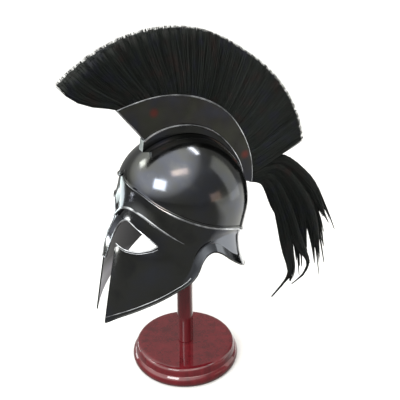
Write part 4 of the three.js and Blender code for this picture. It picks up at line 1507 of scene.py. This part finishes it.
class HELMET_OT_tail(Operator):
    """Hangs the tail's locks from the crest's rear end"""

    bl_idname = "helmet.tail"
    bl_label = "Tail"

    SEED = 23

    # Faces round and along a lock's heart, points along a hair, and its thickness at shares of the way
    AROUND, ALONG, POINTS = 12, 30, 12
    TAPER = ([0, 0.1, 0.6, 0.9, 1], [0.7, 1.1, 1.25, 1.15, 0.40])

    # What a lock has where its row doesn't say
    CORE, WISPS, GATHER = 0.74, 6, 0.92

    def execute(self, context):
        c = crest_sizes()
        chance = np.random.default_rng(self.SEED)
        end = crest_point(CREST_REAR["rim"], rim_radius(CREST_REAR["rim"]))
        span = CREST_REAR["rim"] - BRUSH_REAR["rim"]
        core = bmesh.new()
        routes, radii = [], []
        for number, row in enumerate(TAIL):
            root_turn = BRUSH_REAR["rim"] + span * (number + 1) / (len(TAIL) + 1)
            root = crest_point(root_turn, rim_radius(root_turn) - 2 * MM)
            knots = [(0, *root)]
            for place, (back, down) in enumerate(zip(row["back"], row["down"])):
                sway = row["side"] * c.tail_thickness * min((place + 1) / 2, 1)
                knots.append((sway, end[0] + c.tail_reach * back, end[1] - c.tail_drop * down))
            self.add_core(core, knots, row)
            self.add_strands(routes, radii, knots, row, chance)
        mesh = strands("tail_strands", routes, radii)
        hair_piece("hair_tail", core, mesh, "crest_tail")
        return {"FINISHED"}

    @staticmethod
    def half_sizes(row, shares):
        c = crest_sizes()
        size = read(TAIL_SWELL, "share", "size", shares)
        seat = c.width / 2 - c.sheet - 0.3 * MM
        wide = size * row["width"] * c.tail_thickness
        wide = np.where(shares < 0.06, np.minimum(wide, seat), wide)
        return wide, size * c.lock_depth / 2

    def add_core(self, core, knots, row):
        """Solid heart of a lock, which ends well above the hair's tips"""
        sheet = new_grid(self.AROUND, self.ALONG)
        u, v = places(sheet)
        reach = row.get("core", self.CORE)
        spots, heading = catmull(knots, v * reach)
        wide, deep = self.half_sizes(row, v * reach)
        close = 0.74 * np.sqrt(np.clip((1 - v) / 0.35, 0.04, 1))
        across = np.array([1.0, 0, 0])
        along = unit(np.cross(heading, across))
        turn = u * 2 * pi
        spots = spots + across * (close * wide * np.cos(turn))[:, None]
        spots = spots + along * (close * deep * np.sin(turn))[:, None]
        put(sheet, spots)
        close_body(sheet)
        take_in(core, as_mesh("lock", sheet))

    def add_strands(self, routes, radii, knots, row, chance):
        """Hairs of a lock, which gather into wisps of their own lengths towards its end"""
        c = crest_sizes()
        shares = np.linspace(0, 1, self.POINTS)
        taper = np.interp(shares, *self.TAPER)
        across = np.array([1.0, 0, 0])
        wisps = [
            {
                "turn": chance.uniform(0, 2 * pi),
                "out": chance.uniform(0.15, 1.0),
                "reach": 1.0 if number == 0 else chance.uniform(0.74, 0.93),
                "curl": chance.normal() * 0.25,
            }
            for number in range(row.get("wisps", self.WISPS))
        ]
        for _ in range(c.tail_hairs):
            wisp = wisps[chance.integers(len(wisps))]
            turn = chance.uniform(0, 2 * pi)
            out = 1 - 0.4 * chance.uniform() ** 2
            at = shares * wisp["reach"] * (1 - 0.16 * chance.uniform() ** 2)
            spots, heading = catmull(knots, at)
            wide, deep = self.half_sizes(row, at)
            along = unit(np.cross(heading, across))
            gather = smooth((at - 0.52) / 0.34) * row.get("gather", self.GATHER)
            loose = 0.12 * chance.normal() * shares**2
            own = np.array([np.cos(turn), np.sin(turn)]) * out
            lean = np.array([np.cos(wisp["turn"]), np.sin(wisp["turn"])]) * wisp["out"]
            mix = own[None, :] * (1 - gather)[:, None] + lean[None, :] * gather[:, None]
            mix = mix + loose[:, None] + wisp["curl"] * (gather**2)[:, None]
            spot = spots + across * (wide * mix[:, 0])[:, None]
            spot = spot + along * (deep * mix[:, 1])[:, None]
            routes.append(spot)
            radii.append(c.hair_radius * chance.uniform(0.6, 1.1) * taper)


# The camera, from the photograph's view of the round base and the two cheek tips
CAMERA = {"azimuth": 64.0, "elevation": 24.44, "distance": 1.0314, "level": 0.3261, "right": 0.028}
LENS_FOR_FRAME = 54.0
FLOOR_RADIUS = 8.0

# Soft boxes and windows: where each stands from the helmet, how far, its size, brightness and tint.
# target is the place that it stands round where that isn't the helmet's middle, spread is its grid's
# angle, and roll turns it about its own axis.
SOFT_BOXES = [
    {"name": "front_window", "azimuth": 38, "elevation": 30, "far": 1.5, "wide": 0.60, "tall": 0.52,
     "bright": 16, "tint": (0.96, 1.0, 1.0)},
    {"name": "side_window", "azimuth": -37, "elevation": 42, "far": 1.8, "wide": 0.44, "tall": 0.30,
     "bright": 14, "tint": (1.0, 1.0, 0.96)},
    {"name": "rear_strip", "azimuth": -167, "elevation": 62, "far": 1.8, "wide": 0.74, "tall": 0.15,
     "bright": 26, "tint": (1.0, 1.0, 1.0), "roll": 20},
    {"name": "back_wall", "azimuth": 168, "elevation": 12, "far": 1.8, "wide": 0.80, "tall": 1.7,
     "bright": 1.5, "tint": (1.0, 1.0, 0.93)},
    {"name": "nose_card", "azimuth": -22, "elevation": -5, "far": 0.40, "wide": 0.11, "tall": 0.13,
     "bright": 0.45, "tint": (1.0, 1.0, 1.0), "target": (0.006, -0.141, 0.275), "spread": 14},
    {"name": "warm_lamp", "azimuth": 84, "elevation": 55, "far": 1.8, "wide": 0.85, "tall": 0.34,
     "bright": 6.6, "tint": (1.0, 0.76, 0.62)},
    {"name": "doorway", "azimuth": 134, "elevation": 1, "far": 1.8, "wide": 0.50, "tall": 0.34,
     "bright": 1.8, "tint": (1.0, 0.68, 0.52)},
    {"name": "far_card", "azimuth": -61, "elevation": -13.2, "far": 1.06, "wide": 0.42, "tall": 0.24,
     "bright": 5.6, "tint": (0.90, 1.0, 1.0)},
]
STAGE_MIDDLE = (0.04, -0.05, 0.39)

# Brightness of the room along a line that leans forwards from the zenith, from -1 to 1
ROOM_LEAN = (0.10, -0.45, 0.89)
ROOM_TINT = (1.0, 1.0, 0.96)
ROOM = [
    {"place": -1.00, "bright": 0.35},
    {"place": 0.10, "bright": 0.42},
    {"place": 0.27, "bright": 0.48},
    {"place": 0.44, "bright": 0.66},
    {"place": 0.56, "bright": 1.90},
    {"place": 0.80, "bright": 3.45},
    {"place": 1.00, "bright": 2.80},
]


def direction(azimuth, elevation):
    a, e = radians(azimuth), radians(elevation)
    return Vector((sin(a) * cos(e), -cos(a) * cos(e), sin(e)))


def aim(thing, place, target):
    thing.location = place
    thing.rotation_euler = (target - place).to_track_quat("-Z", "Y").to_euler()


class HELMET_OT_stage(Operator):
    """Sets the floor, the soft boxes, the surroundings and the camera"""

    bl_idname = "helmet.stage"
    bl_label = "Stage"

    def execute(self, context):
        self.floor()
        for row in SOFT_BOXES:
            light = bpy.data.lights.new(row["name"], "AREA")
            light.shape = "RECTANGLE"
            light.size, light.size_y = row["wide"], row["tall"]
            light.energy = row["bright"] * pi * row["wide"] * row["tall"]
            light.color = row["tint"]
            light.spread = radians(row.get("spread", 180))
            lamp = bpy.data.objects.new(row["name"], light)
            lamp.visible_camera = False
            bpy.context.collection.objects.link(lamp)
            target = Vector(row.get("target", STAGE_MIDDLE))
            aim(lamp, target + direction(row["azimuth"], row["elevation"]) * row["far"], target)
            lamp.rotation_euler.rotate_axis("Z", radians(row.get("roll", 0)))
        self.surroundings(context)
        self.camera(context)
        return {"FINISHED"}

    @staticmethod
    def floor():
        shape = bmesh.new()
        bmesh.ops.create_circle(shape, cap_ends=True, segments=96, radius=FLOOR_RADIUS)
        mesh = as_mesh("floor", shape)
        mesh.materials.append(pale_floor())
        floor = bpy.data.objects.new("floor", mesh)
        bpy.context.collection.objects.link(floor)

    @staticmethod
    def surroundings(context):
        world = bpy.data.worlds.new("studio")
        context.scene.world = world
        world.use_nodes = True
        nodes, links = world.node_tree.nodes, world.node_tree.links
        back = nodes["Background"]
        heading = nodes.new("ShaderNodeTexCoord").outputs["Generated"]
        lean = measured(nodes, links, heading, "DOT_PRODUCT", ROOM_LEAN)
        height = mapped(nodes, links, lean, -1.0, 1.0)
        most = max(row["bright"] for row in ROOM)
        tints = shades(ROOM_TINT, [row["bright"] / most for row in ROOM])
        stops = [((row["place"] + 1) / 2, tint) for row, tint in zip(ROOM, tints)]
        links.new(ramp(nodes, links, height, stops), back.inputs["Color"])
        back.inputs["Strength"].default_value = most
        context.scene.view_settings.view_transform = "Standard"

    @staticmethod
    def camera(context):
        lens = bpy.data.cameras.new("camera")
        lens.sensor_fit = "HORIZONTAL"
        lens.sensor_width = 36
        lens.lens = LENS_FOR_FRAME
        lens.clip_start = 0.01
        camera = bpy.data.objects.new("camera", lens)
        bpy.context.collection.objects.link(camera)
        turn = radians(CAMERA["azimuth"])
        sideways = Vector((cos(turn), sin(turn), 0))
        target = Vector((0, 0, CAMERA["level"])) + sideways * CAMERA["right"]
        outward = direction(CAMERA["azimuth"], CAMERA["elevation"])
        aim(camera, target + outward * CAMERA["distance"], target)
        context.scene.camera = camera


class HELMET_PT_panel(Panel):
    """Sizes, finishes and pieces of the helmet"""

    bl_idname = "HELMET_PT_panel"
    bl_label = "Corinthian Helmet"
    bl_space_type = "VIEW_3D"
    bl_region_type = "UI"
    bl_category = "Helmet"

    def draw(self, context):
        layout = self.layout
        for group in (sizes(), crest_sizes(), finishes()):
            box = layout.box()
            for name in group.bl_rna.properties.keys():
                if name not in ("rna_type", "name"):
                    box.prop(group, name)
        for operator in OPERATORS:
            layout.operator(operator.bl_idname)


OPERATORS = (
    HELMET_OT_stand,
    HELMET_OT_skull,
    HELMET_OT_mask,
    HELMET_OT_plinth,
    HELMET_OT_crest_box,
    HELMET_OT_brush,
    HELMET_OT_tail,
    HELMET_OT_stage,
)
CLASSES = (HelmetSizes, CrestSizes, Finishes, *OPERATORS, HELMET_PT_panel)


def register():
    for cls in CLASSES:
        bpy.utils.register_class(cls)
    bpy.types.Scene.helmet_sizes = PointerProperty(type=HelmetSizes)
    bpy.types.Scene.crest_sizes = PointerProperty(type=CrestSizes)
    bpy.types.Scene.helmet_finishes = PointerProperty(type=Finishes)


def unregister():
    del bpy.types.Scene.helmet_finishes
    del bpy.types.Scene.crest_sizes
    del bpy.types.Scene.helmet_sizes
    for cls in reversed(CLASSES):
        bpy.utils.unregister_class(cls)


def main():
    register()
    bpy.ops.helmet.stand()
    bpy.ops.helmet.skull()
    bpy.ops.helmet.mask()
    bpy.ops.helmet.plinth()
    bpy.ops.helmet.crest_box()
    bpy.ops.helmet.brush()
    bpy.ops.helmet.tail()
    bpy.ops.helmet.stage()


if __name__ == "__main__":
    main()
